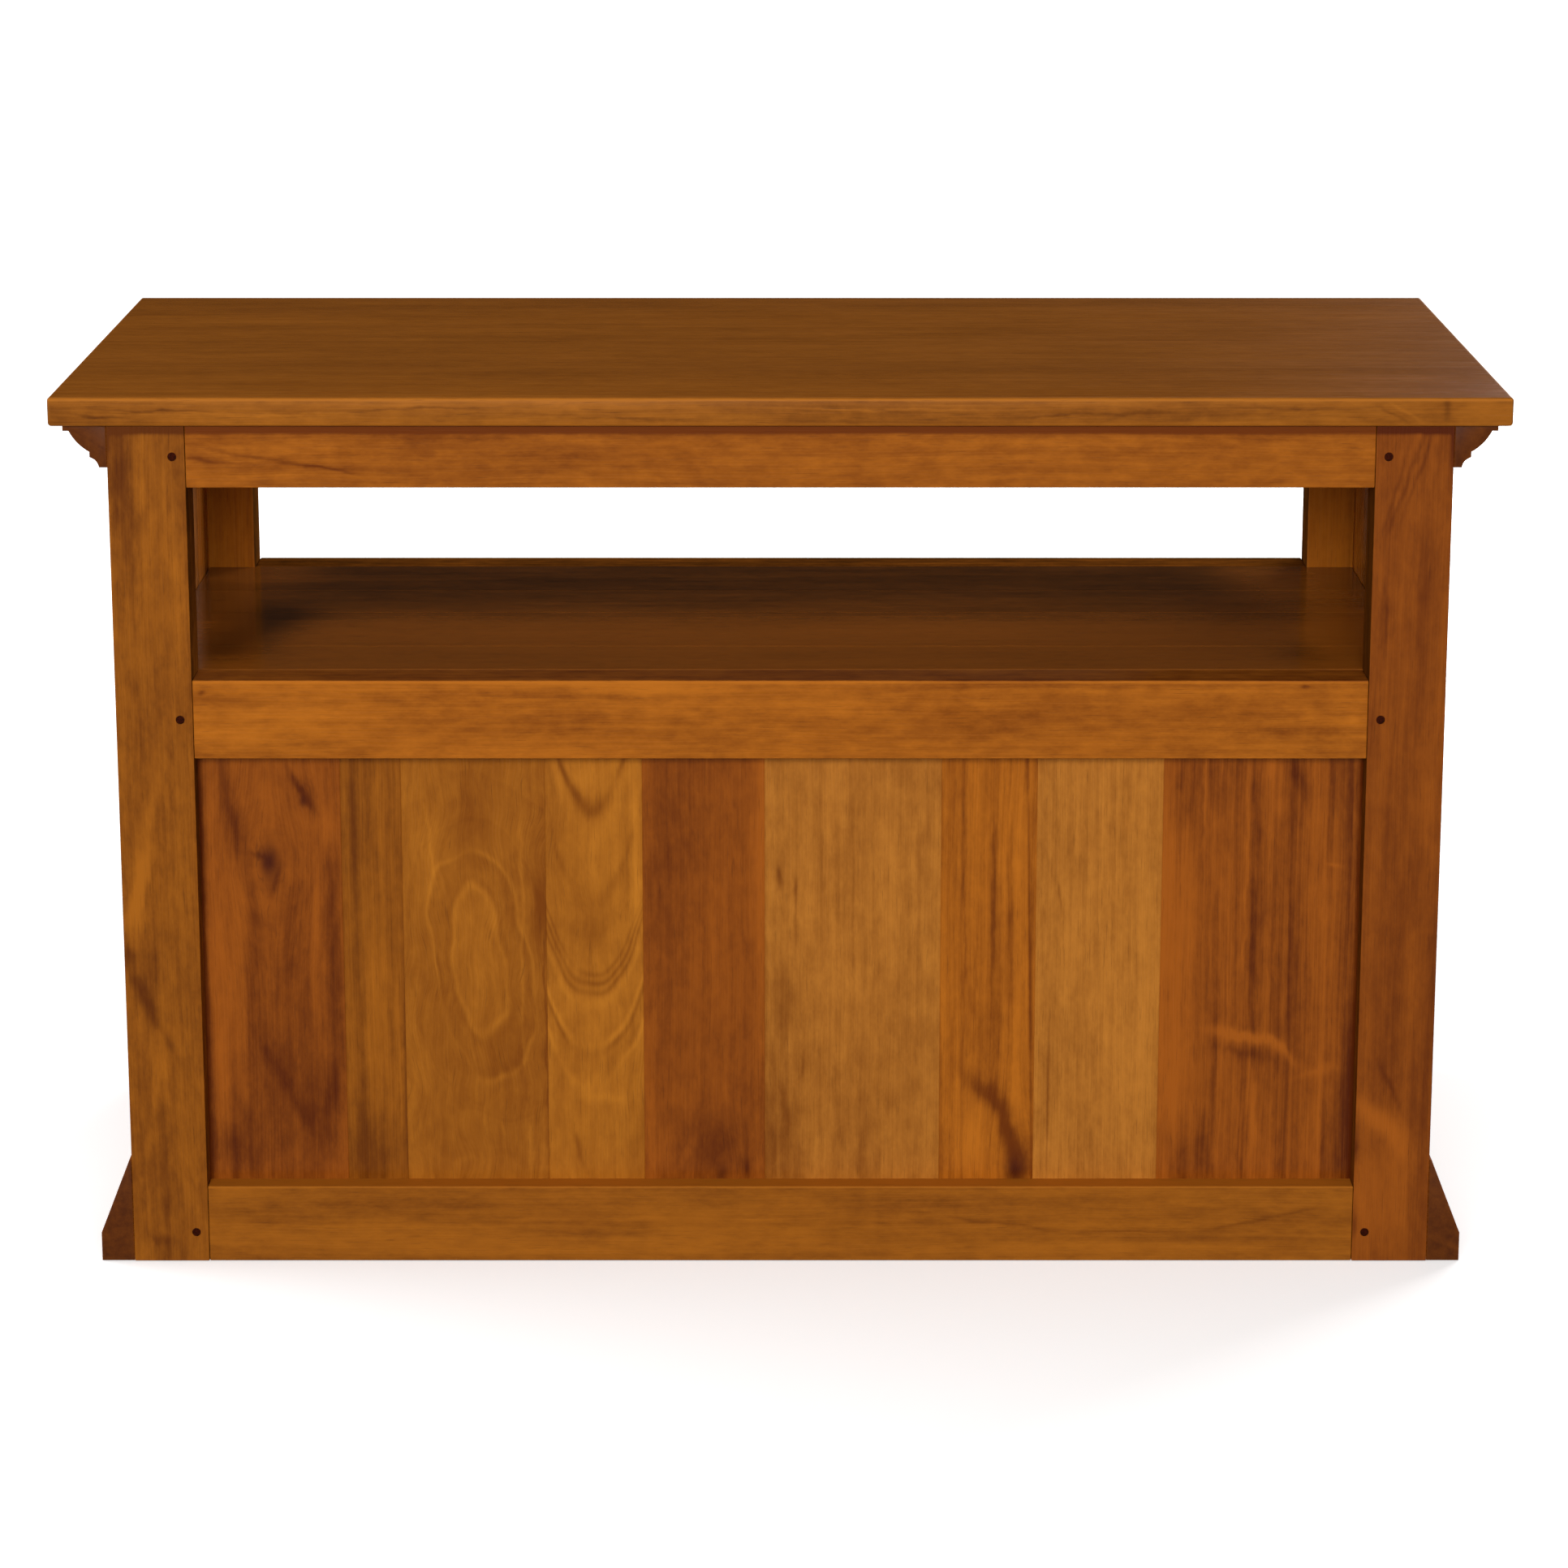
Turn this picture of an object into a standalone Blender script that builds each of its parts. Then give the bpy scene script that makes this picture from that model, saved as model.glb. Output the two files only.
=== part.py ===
"""Solid wood TV cabinet: a pegged post-and-rail carcass with an open niche above a two-door cupboard.

Metres, +Z up. The origin is at the middle of the footprint, on the floor. The front faces -Y and the back +Y.
Left and right are as seen from the front, so left is -X.
"""
import math
from typing import NamedTuple

import bmesh
import bpy
from mathutils import Matrix, Vector

# Overall sizes
TOP_WIDTH = 1.200
TOP_DEPTH = 0.550
CABINET_HEIGHT = 0.750
TOP_THICKNESS = 0.024
TOP_EDGE_ROUND = 0.003
OVERHANG_SIDE = 0.047
OVERHANG_FRONT = 0.047
OVERHANG_BACK = 0.005

# Posts and rails
POST_WIDTH = 0.064
POST_DEPTH = 0.045
RAIL_THICKNESS = 0.040
SIDE_RAIL_THICKNESS = 0.028
RAIL_SETBACK = 0.0006
TOP_RAIL_HEIGHT = 0.052
NICHE_HEIGHT = 0.163
MIDDLE_RAIL_HEIGHT = 0.067
BOTTOM_RAIL_HEIGHT = 0.067
SILL_REVEAL = 0.006
EDGE_EASE = 0.0015

# Joints between posts, rails and panels
ASSEMBLY_GAP = 0.0003
TENON_THICKNESS = 0.010
TENON_SHOULDER = 0.008
TENON_COVER = 0.012
TENON_ROOT = 0.006
MORTISE_WALL = 0.005
GROOVE_DEPTH = 0.010
PANEL_THICKNESS = 0.014
PANEL_INNER_CHEEK = 0.006
PEG_DIAMETER = 0.007
PEG_LENGTH = 0.036
PEG_INSET = 0.0105
PEG_SUNK = 0.0008
BOTTOM_PEG_LEVEL = 0.026

# Shelf and cupboard floor
SHELF_THICKNESS = 0.018
FLOOR_THICKNESS = 0.018
TONGUE_THICKNESS = 0.008
TONGUE_LENGTH = 0.010

# Cornice under the top, measured out from the frame and down from the top
CORNICE_PROJECTION = 0.036
CORNICE_HEIGHT = 0.035
CORNICE_FILLET = 0.0045
CORNICE_QUIRK = 0.005
CORNICE_STEP_PROJECTION = 0.0145
CORNICE_STEP_LEVEL = 0.022
CORNICE_STEP = 0.0045
CORNICE_FOOT = 0.007
CORNICE_BULGE = 0.0018
CORNICE_END_SETBACK = 0.0015

# Sloped skirting round the base
SKIRTING_PROJECTION = 0.028
SKIRTING_HEIGHT = 0.091
SKIRTING_UPRIGHT = 0.025
SKIRTING_TOP_EDGE = 0.002
SKIRTING_END_SETBACK = 0.001

# Doors
DOOR_GAP = 0.002
MEETING_GAP = 0.003
DOOR_THICKNESS = 0.022
DOOR_STILE_WIDTH = 0.058
DOOR_RAIL_HEIGHT = 0.058
DOOR_PANEL_THICKNESS = 0.010
DOOR_GROOVE_DEPTH = 0.009
DOOR_TENON_THICKNESS = 0.008
DOOR_TENON_COVER = 0.018

# Turned knobs
KNOB_RADIUS = 0.016
KNOB_LENGTH = 0.030
KNOB_COLLAR_RADIUS = 0.011
KNOB_COLLAR_LENGTH = 0.004
KNOB_NECK_RADIUS = 0.0075
KNOB_NECK_LENGTH = 0.010
KNOB_CROWN = 0.004
KNOB_SPIGOT_RADIUS = 0.005
KNOB_HOLE_COVER = 0.006

# Butt hinges
LEAF_THICKNESS = 0.0012
LEAF_HEIGHT = 0.050
LEAF_MARGIN = 0.004
KNUCKLE_RADIUS = 0.0035
KNUCKLE_CLEAR = 0.0007
KNUCKLE_COUNT = 5
HINGE_PIN_RADIUS = 0.0016
HINGE_PIN_HEAD_RADIUS = 0.0028
HINGE_PIN_HEAD = 0.0018
HINGE_INSET = 0.060

# Double magnetic catch under the middle front rail
CATCH_DEPTH = 0.014
CATCH_HEIGHT = 0.013
CATCH_SIDE_MARGIN = 0.003
CATCH_PLATE_WIDTH = 0.020
CATCH_PLATE_THICKNESS = 0.001
CATCH_PLATE_INSET = 0.004
CATCH_PLATE_TOP_MARGIN = 0.001

# Facets of round pieces and of moulded curves
PEG_SIDES = 16
HINGE_SIDES = 16
KNOB_SIDES = 24
BALL_STEPS = 7
CURVE_STEPS = 5

# Planes worked out from the sizes above
POST_OUT = TOP_WIDTH / 2 - OVERHANG_SIDE
POST_IN = POST_OUT - POST_WIDTH
BACK = TOP_DEPTH / 2 - OVERHANG_BACK
FRONT = OVERHANG_FRONT - TOP_DEPTH / 2
BACK_POST_IN = BACK - POST_DEPTH
FRONT_POST_IN = FRONT + POST_DEPTH
BACK_RAIL_IN = BACK - RAIL_SETBACK - RAIL_THICKNESS
FRONT_RAIL_IN = FRONT + RAIL_SETBACK + RAIL_THICKNESS
SIDE_RAIL_OUT = POST_OUT - RAIL_SETBACK
SIDE_RAIL_IN = SIDE_RAIL_OUT - SIDE_RAIL_THICKNESS
SIDE_RAIL_MIDDLE = (SIDE_RAIL_OUT + SIDE_RAIL_IN) / 2
SIDE_PANEL_IN = SIDE_RAIL_MIDDLE - PANEL_THICKNESS / 2
SIDE_PANEL_OUT = SIDE_RAIL_MIDDLE + PANEL_THICKNESS / 2
BACK_PANEL_IN = BACK_RAIL_IN + PANEL_INNER_CHEEK
BACK_PANEL_OUT = BACK_PANEL_IN + PANEL_THICKNESS
TOP_UNDERSIDE = CABINET_HEIGHT - TOP_THICKNESS
TOP_RAIL_LOW = TOP_UNDERSIDE - TOP_RAIL_HEIGHT
SHELF_LEVEL = TOP_RAIL_LOW - NICHE_HEIGHT
MIDDLE_RAIL_LOW = SHELF_LEVEL - MIDDLE_RAIL_HEIGHT
FLOOR_LOW = BOTTOM_RAIL_HEIGHT + ASSEMBLY_GAP
FLOOR_LEVEL = FLOOR_LOW + FLOOR_THICKNESS
SILL = max(SKIRTING_HEIGHT, FLOOR_LEVEL) + SILL_REVEAL
DOOR_LOW = SILL + DOOR_GAP
DOOR_HIGH = MIDDLE_RAIL_LOW - DOOR_GAP
DOOR_IN = FRONT + DOOR_THICKNESS
DOOR_HINGE_EDGE = POST_IN - DOOR_GAP
DOOR_MEETING_EDGE = MEETING_GAP / 2
HINGE_X = POST_IN - DOOR_GAP / 2
HINGE_Y = FRONT - KNUCKLE_RADIUS - KNUCKLE_CLEAR

SIDES = (("left", -1), ("right", 1))
AXES = "xyz"


class Block(NamedTuple):
    """A box given by its low and high value on each axis."""

    x: tuple
    y: tuple
    z: tuple

    def grown(self, by):
        """The same box with every face moved out by a clearance."""
        return Block(*((low - by, high + by) for low, high in self))

    def centre(self):
        """The middle of the box."""
        return Vector([(low + high) / 2 for low, high in self])

    def size(self):
        """The lengths of the box's sides."""
        return Vector([high - low for low, high in self])


def sided(sign, inner, outer):
    """A span of X on the left (-1) or right (1) half of the cabinet, from its inner to its outer value."""
    return tuple(sorted((sign * inner, sign * outer)))


def make_material(name, colour, roughness, metallic=0.0):
    """A Principled material with one colour."""
    material = bpy.data.materials.new(name)
    material.use_nodes = True
    shader = material.node_tree.nodes["Principled BSDF"]
    shader.inputs["Base Color"].default_value = (*colour, 1.0)
    shader.inputs["Roughness"].default_value = roughness
    shader.inputs["Metallic"].default_value = metallic
    return material


def make_object(name, shape, location, material=None, parent=None):
    """Put a finished bmesh, shaped about its own origin, into a new object at a world location."""
    bmesh.ops.recalc_face_normals(shape, faces=shape.faces)
    mesh = bpy.data.meshes.new(name)
    shape.to_mesh(mesh)
    shape.free()
    if material:
        mesh.materials.append(material)
    thing = bpy.data.objects.new(name, mesh)
    bpy.context.scene.collection.objects.link(thing)
    place = Vector(location)
    if parent:
        thing.parent = parent
        place -= parent.location
    thing.location = place
    return thing


def world_place(thing):
    """Where an unturned object's origin stands in the world."""
    return thing.location + (thing.parent.location if thing.parent else Vector())


def box_shape(size, ease_along="", ease=0.0):
    """A box about its middle, with the edges that run along the named axes chamfered."""
    shape = bmesh.new()
    bmesh.ops.create_cube(shape, size=1.0)
    bmesh.ops.scale(shape, vec=size, verts=shape.verts)
    chosen = []
    for edge in shape.edges:
        run = edge.verts[1].co - edge.verts[0].co
        along = max(range(len(AXES)), key=lambda axis: abs(run[axis]))
        if AXES[along] in ease_along:
            chosen.append(edge)
    if chosen and ease:
        bmesh.ops.bevel(shape, geom=chosen, offset=ease, segments=1, profile=0.5, affect="EDGES")
    return shape


def make_board(name, block, material, ease_along="", ease=EDGE_EASE, parent=None):
    """A sawn board that fills a block, with eased edges."""
    return make_object(name, box_shape(block.size(), ease_along, ease), block.centre(), material, parent)


def apply_helper(piece, shape, location, operation):
    """Cut a hidden shape from a piece or join it on, by a Boolean."""
    helper = make_object(f"helper_{piece.name}", shape, location)
    helper.parent = piece
    helper.location = Vector(location) - world_place(piece)
    helper.hide_render = True
    helper.display_type = "WIRE"
    modifier = piece.modifiers.new(operation.lower(), "BOOLEAN")
    modifier.operation = operation
    modifier.solver = "EXACT"
    modifier.object = helper


def cut_block(piece, block):
    """Cut a box out of a piece."""
    apply_helper(piece, box_shape(block.size()), block.centre(), "DIFFERENCE")


def join_block(piece, block):
    """Join a box on to a piece that it runs into."""
    apply_helper(piece, box_shape(block.size()), block.centre(), "UNION")


def rod_shape(radius, length, sides, axis):
    """A round rod about its middle, along the named axis."""
    shape = bmesh.new()
    bmesh.ops.create_cone(shape, cap_ends=True, segments=sides, radius1=radius, radius2=radius, depth=length)
    if axis == "y":
        bmesh.ops.rotate(shape, verts=shape.verts, matrix=Matrix.Rotation(math.pi / 2, 3, "X"))
    return shape


def turned_shape(profile, sides):
    """A solid turned about Z from (radius, height) points that run from its top to its bottom on the axis."""
    shape = bmesh.new()
    points = [shape.verts.new((radius, 0.0, height)) for radius, height in profile]
    edges = [shape.edges.new(pair) for pair in zip(points, points[1:])]
    bmesh.ops.spin(shape, geom=points + edges, cent=(0, 0, 0), axis=(0, 0, 1), angle=2 * math.pi,
                   steps=sides, use_merge=True)
    bmesh.ops.remove_doubles(shape, verts=shape.verts, dist=1e-6)
    bmesh.ops.dissolve_degenerate(shape, edges=shape.edges, dist=1e-7)
    return shape


def smooth_round(piece):
    """Shade a round piece smooth, with its turned corners kept sharp."""
    piece.data.shade_smooth()
    piece.data.set_sharp_from_angle(angle=math.radians(35))


def bowed(start, end, bulge):
    """Points of a shallow arc after its start, standing out from its chord by the bulge."""
    chord = Vector(end) - Vector(start)
    away = Vector((-chord.y, chord.x)).normalized()
    points = []
    for step in range(1, CURVE_STEPS + 1):
        share = step / CURVE_STEPS
        point = Vector(start) + chord * share + away * bulge * 4 * share * (1 - share)
        points.append(tuple(point))
    return points


def join_tenon(rail, post, block):
    """Give a rail a tenon and its post the mortise that takes it."""
    join_block(rail, block)
    cut_block(post, block.grown(ASSEMBLY_GAP))


def tenon_span(sign, shoulder, end):
    """X span of a tenon, from a little inside its rail out to its end."""
    return sided(sign, shoulder - TENON_ROOT, end)


def build_posts(wood):
    """Four corner posts from the floor to the underside of the top."""
    posts = {}
    for row, span in (("back", (BACK_POST_IN, BACK)), ("front", (FRONT, FRONT_POST_IN))):
        for side, sign in SIDES:
            block = Block(sided(sign, POST_IN, POST_OUT), span, (0.0, TOP_UNDERSIDE - ASSEMBLY_GAP))
            posts[row, side] = make_board(f"post_{row}_{side}", block, wood, "z")
    return posts


def build_long_rails(wood, posts):
    """The back and front rails between the posts, with a tenon at each end."""
    tenon_end = SIDE_RAIL_MIDDLE - TENON_THICKNESS / 2 - MORTISE_WALL
    shoulder = POST_IN - ASSEMBLY_GAP
    spans = {
        "back": (BACK_RAIL_IN, BACK - RAIL_SETBACK),
        "front": (FRONT + RAIL_SETBACK, FRONT_RAIL_IN),
    }
    levels = {
        "top": (TOP_RAIL_LOW, TOP_UNDERSIDE - ASSEMBLY_GAP),
        "middle": (MIDDLE_RAIL_LOW, SHELF_LEVEL),
    }
    grooved_low = TENON_SHOULDER + GROOVE_DEPTH
    rails = {}
    for row, across in spans.items():
        levels["bottom"] = (0.0, BOTTOM_RAIL_HEIGHT if row == "back" else SILL)
        middle = sum(across) / 2
        for level, (low, high) in levels.items():
            block = Block((-shoulder, shoulder), across, (low, high))
            rail = make_board(f"rail_{row}_{level}", block, wood, "x")
            tenon_low = low + (grooved_low if level == "middle" else TENON_SHOULDER)
            tenon_high = high - (grooved_low if level == "bottom" else TENON_SHOULDER)
            for side, sign in SIDES:
                tenon = Block(
                    tenon_span(sign, shoulder, tenon_end),
                    (middle - TENON_THICKNESS / 2, middle + TENON_THICKNESS / 2),
                    (tenon_low, tenon_high),
                )
                join_tenon(rail, posts[row, side], tenon)
            rails[row, level] = rail
    return rails


def build_side_rails(wood, posts):
    """Top and bottom rails of the two sides, tenoned into the posts and grooved for the side panels."""
    levels = {
        "top": (TOP_RAIL_LOW, TOP_UNDERSIDE - ASSEMBLY_GAP),
        "bottom": (0.0, BOTTOM_RAIL_HEIGHT),
    }
    grooved = TENON_SHOULDER + GROOVE_DEPTH
    rails = {}
    for side, sign in SIDES:
        for level, (low, high) in levels.items():
            shoulders = (FRONT_POST_IN + ASSEMBLY_GAP, BACK_POST_IN - ASSEMBLY_GAP)
            block = Block(sided(sign, SIDE_RAIL_IN, SIDE_RAIL_OUT), shoulders, (low, high))
            rail = make_board(f"rail_side_{level}_{side}", block, wood, "y")
            cheek = TENON_THICKNESS / 2
            thickness = sided(sign, SIDE_RAIL_MIDDLE - cheek, SIDE_RAIL_MIDDLE + cheek)
            height = (low + grooved, high - TENON_SHOULDER)
            if level == "bottom":
                height = (low + TENON_SHOULDER, high - grooved)
            ends = {
                "front": (FRONT + TENON_COVER, shoulders[0] + TENON_ROOT),
                "back": (shoulders[1] - TENON_ROOT, BACK - TENON_COVER),
            }
            for row, reach in ends.items():
                join_tenon(rail, posts[row, side], Block(thickness, reach, height))
            rails[level, side] = rail
    return rails


def build_back_panel(wood, posts, rails):
    """The recessed back panel, in grooves of the back posts and of the middle and bottom rails."""
    groove = Block(
        (-POST_IN - GROOVE_DEPTH, POST_IN + GROOVE_DEPTH),
        (BACK_PANEL_IN - ASSEMBLY_GAP, BACK_PANEL_OUT + ASSEMBLY_GAP),
        (BOTTOM_RAIL_HEIGHT - GROOVE_DEPTH, MIDDLE_RAIL_LOW + GROOVE_DEPTH),
    )
    frame = [posts["back", side] for side, _ in SIDES]
    frame += [rails["back", level] for level in ("middle", "bottom")]
    for piece in frame:
        cut_block(piece, groove)
    make_board("panel_back", groove.grown(-ASSEMBLY_GAP), wood)


def build_side_panels(wood, posts, side_rails):
    """The tall side panels, in grooves of the posts and of the side rails."""
    for side, sign in SIDES:
        groove = Block(
            sided(sign, SIDE_PANEL_IN - ASSEMBLY_GAP, SIDE_PANEL_OUT + ASSEMBLY_GAP),
            (FRONT_POST_IN - GROOVE_DEPTH, BACK_POST_IN + GROOVE_DEPTH),
            (BOTTOM_RAIL_HEIGHT - GROOVE_DEPTH, TOP_RAIL_LOW + GROOVE_DEPTH),
        )
        for row in ("front", "back"):
            cut_block(posts[row, side], groove)
        for level in ("top", "bottom"):
            cut_block(side_rails[level, side], groove)
        make_board(f"panel_side_{side}", groove.grown(-ASSEMBLY_GAP), wood)


def build_deck(name, wood, levels, back_edge, tongued_rails):
    """A shelf or floor that fills the carcass, reaches between the posts and is tongued into long rails."""
    inner_side = SIDE_PANEL_IN - ASSEMBLY_GAP
    between = POST_IN - ASSEMBLY_GAP
    front_edge = FRONT_RAIL_IN + ASSEMBLY_GAP
    body = Block(
        (-inner_side, inner_side),
        (max(FRONT_POST_IN, FRONT_RAIL_IN) + ASSEMBLY_GAP, min(BACK_POST_IN, BACK_RAIL_IN) - ASSEMBLY_GAP),
        levels,
    )
    deck = make_board(name, body, wood)
    join_block(deck, Block((-between, between), (front_edge, back_edge), levels))
    middle = sum(levels) / 2
    low, high = middle - TONGUE_THICKNESS / 2, middle + TONGUE_THICKNESS / 2
    reach = {
        "front": (FRONT_RAIL_IN - TONGUE_LENGTH, front_edge + TENON_ROOT),
        "back": (back_edge - TENON_ROOT, BACK_RAIL_IN + TONGUE_LENGTH),
    }
    for row, rail in tongued_rails.items():
        tongue = Block((-between, between), reach[row], (low, high))
        join_block(deck, tongue)
        cut_block(rail, tongue.grown(ASSEMBLY_GAP))


def build_decks(wood, rails):
    """The niche shelf, tongued front and back, and the cupboard floor that lies on the bottom rails."""
    build_deck(
        "niche_shelf", wood, (SHELF_LEVEL - SHELF_THICKNESS, SHELF_LEVEL), BACK_RAIL_IN - ASSEMBLY_GAP,
        {"front": rails["front", "middle"], "back": rails["back", "middle"]},
    )
    build_deck(
        "cupboard_floor", wood, (FLOOR_LOW, FLOOR_LEVEL), BACK_PANEL_IN - ASSEMBLY_GAP,
        {"front": rails["front", "bottom"]},
    )


def build_pegs(dark_wood, posts, rails):
    """The round pegs that pin the tenons of the back rails, driven in from the back."""
    levels = {
        "top": (TOP_RAIL_LOW + TOP_UNDERSIDE) / 2,
        "middle": (MIDDLE_RAIL_LOW + SHELF_LEVEL) / 2,
        "bottom": BOTTOM_PEG_LEVEL,
    }
    radius = PEG_DIAMETER / 2
    inner_end = BACK - PEG_LENGTH
    hole_length = PEG_LENGTH + 2 * ASSEMBLY_GAP
    for side, sign in SIDES:
        for level, height in levels.items():
            across = sign * (POST_IN + PEG_INSET)
            length = PEG_LENGTH - PEG_SUNK
            peg = make_object(
                f"peg_{level}_{side}", rod_shape(radius, length, PEG_SIDES, "y"),
                (across, inner_end + length / 2, height), dark_wood,
            )
            smooth_round(peg)
            hole_place = (across, BACK + ASSEMBLY_GAP - hole_length / 2, height)
            for piece in (posts["back", side], rails["back", level]):
                hole = rod_shape(radius + ASSEMBLY_GAP, hole_length, PEG_SIDES, "y")
                apply_helper(piece, hole, hole_place, "DIFFERENCE")


def cornice_profile():
    """Outline of the cornice as (out from the frame, up from the floor) points."""
    top = TOP_UNDERSIDE - ASSEMBLY_GAP
    fillet = (CORNICE_PROJECTION - CORNICE_QUIRK, top - CORNICE_FILLET)
    step = (CORNICE_STEP_PROJECTION, top - CORNICE_STEP_LEVEL)
    below = (CORNICE_STEP_PROJECTION, top - CORNICE_STEP_LEVEL - CORNICE_STEP)
    foot = (CORNICE_FOOT, top - CORNICE_HEIGHT)
    points = [(ASSEMBLY_GAP, top), (CORNICE_PROJECTION, top)]
    points += [(CORNICE_PROJECTION, top - CORNICE_FILLET), fillet]
    points += bowed(fillet, step, CORNICE_BULGE)
    points += [below] + bowed(below, foot, -CORNICE_BULGE)
    return points + [(ASSEMBLY_GAP, top - CORNICE_HEIGHT)]


def skirting_profile():
    """Outline of the skirting as (out from the frame, up from the floor) points."""
    return [
        (ASSEMBLY_GAP, 0.0),
        (SKIRTING_PROJECTION, 0.0),
        (SKIRTING_PROJECTION, SKIRTING_UPRIGHT),
        (SKIRTING_TOP_EDGE, SKIRTING_HEIGHT),
        (ASSEMBLY_GAP, SKIRTING_HEIGHT),
    ]


def trim_mitre(shape, sign, keep_front):
    """Trim a moulding half a gap short of the 45 degree plane through a front corner of the carcass."""
    outward = Vector((sign, 1.0, 0.0)).normalized() * (1 if keep_front else -1)
    corner = Vector((sign * POST_OUT, FRONT, 0.0)) - outward * ASSEMBLY_GAP / 2
    everything = shape.verts[:] + shape.edges[:] + shape.faces[:]
    result = bmesh.ops.bisect_plane(
        shape, geom=everything, plane_co=corner, plane_no=outward, clear_outer=True,
    )
    rim = [part for part in result["geom_cut"] if isinstance(part, bmesh.types.BMEdge)]
    bmesh.ops.edgeloop_fill(shape, edges=rim)


def run_moulding(profile, place, run):
    """A moulding of one profile: place turns a profile point into the start of the run."""
    shape = bmesh.new()
    face = shape.faces.new([shape.verts.new(place(out, up)) for out, up in profile])
    grown = bmesh.ops.extrude_face_region(shape, geom=[face])
    ends = [part for part in grown["geom"] if isinstance(part, bmesh.types.BMVert)]
    bmesh.ops.translate(shape, verts=ends, vec=run)
    return shape


def centred(name, shape, material):
    """Make an object of a shape drawn in world coordinates, with its origin in its middle."""
    corners = [vert.co for vert in shape.verts]
    middle = Vector([(min(c[i] for c in corners) + max(c[i] for c in corners)) / 2 for i in range(len(AXES))])
    bmesh.ops.translate(shape, verts=shape.verts, vec=-middle)
    return make_object(name, shape, middle, material)


def build_mouldings(name, wood, profile, projection, end_setback):
    """A moulding along both sides and the front, mitred at the front corners and cut square at the back."""
    back_end = BACK - end_setback
    start = FRONT - 2 * projection
    for side, sign in SIDES:
        shape = run_moulding(
            profile, lambda out, up: (sign * (POST_OUT + out), start, up), (0.0, back_end - start, 0.0),
        )
        trim_mitre(shape, sign, keep_front=False)
        centred(f"{name}_{side}", shape, wood)
    reach = POST_OUT + 2 * projection
    shape = run_moulding(profile, lambda out, up: (-reach, FRONT - out, up), (2 * reach, 0.0, 0.0))
    for _, sign in SIDES:
        trim_mitre(shape, sign, keep_front=True)
    centred(f"{name}_front", shape, wood)


def build_top(wood):
    """The overhanging top."""
    half_width, half_depth = TOP_WIDTH / 2, TOP_DEPTH / 2
    block = Block((-half_width, half_width), (-half_depth, half_depth), (TOP_UNDERSIDE, CABINET_HEIGHT))
    top = make_board("top_panel", block, wood)
    edge = top.modifiers.new("rounded edge", "BEVEL")
    edge.width = TOP_EDGE_ROUND
    edge.segments = 2
    edge.limit_method = "ANGLE"


def build_door_frame(side, sign, wood, pivot):
    """A door's stiles, rails and panel, hung from the pivot. Returns the stiles by name."""
    depth = (FRONT, DOOR_IN)
    middle = sum(depth) / 2
    inner_hinge = DOOR_HINGE_EDGE - DOOR_STILE_WIDTH
    inner_meeting = DOOR_MEETING_EDGE + DOOR_STILE_WIDTH
    height = (DOOR_LOW, DOOR_HIGH)
    stiles = {}
    edges = {"hinge": (inner_hinge, DOOR_HINGE_EDGE), "meeting": (DOOR_MEETING_EDGE, inner_meeting)}
    for part, (inner, outer) in edges.items():
        block = Block(sided(sign, inner, outer), depth, height)
        stiles[part] = make_board(f"door_{side}_{part}_stile", block, wood, "z", parent=pivot)
    shoulders = sided(sign, inner_meeting + ASSEMBLY_GAP, inner_hinge - ASSEMBLY_GAP)
    tenon_reach = DOOR_STILE_WIDTH - DOOR_TENON_COVER
    thickness = (middle - DOOR_TENON_THICKNESS / 2, middle + DOOR_TENON_THICKNESS / 2)
    ends = {
        "hinge": sided(sign, inner_hinge - TENON_ROOT, inner_hinge + tenon_reach),
        "meeting": sided(sign, inner_meeting - tenon_reach, inner_meeting + TENON_ROOT),
    }
    grooved = DOOR_GROOVE_DEPTH + TENON_SHOULDER
    rails = []
    for part, low in (("top", DOOR_HIGH - DOOR_RAIL_HEIGHT), ("bottom", DOOR_LOW)):
        high = low + DOOR_RAIL_HEIGHT
        block = Block(shoulders, depth, (low, high))
        rail = make_board(f"door_{side}_{part}_rail", block, wood, "x", parent=pivot)
        tenon = (low + TENON_SHOULDER, high - grooved)
        if part == "top":
            tenon = (low + grooved, high - TENON_SHOULDER)
        for stile, reach in ends.items():
            join_tenon(rail, stiles[stile], Block(reach, thickness, tenon))
        rails.append(rail)
    groove = Block(
        sided(sign, inner_meeting - DOOR_GROOVE_DEPTH, inner_hinge + DOOR_GROOVE_DEPTH),
        (middle - DOOR_PANEL_THICKNESS / 2 - ASSEMBLY_GAP, middle + DOOR_PANEL_THICKNESS / 2 + ASSEMBLY_GAP),
        (DOOR_LOW + DOOR_RAIL_HEIGHT - DOOR_GROOVE_DEPTH, DOOR_HIGH - DOOR_RAIL_HEIGHT + DOOR_GROOVE_DEPTH),
    )
    for piece in (*stiles.values(), *rails):
        cut_block(piece, groove)
    make_board(f"door_{side}_panel", groove.grown(-ASSEMBLY_GAP), wood, parent=pivot)
    return stiles


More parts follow.
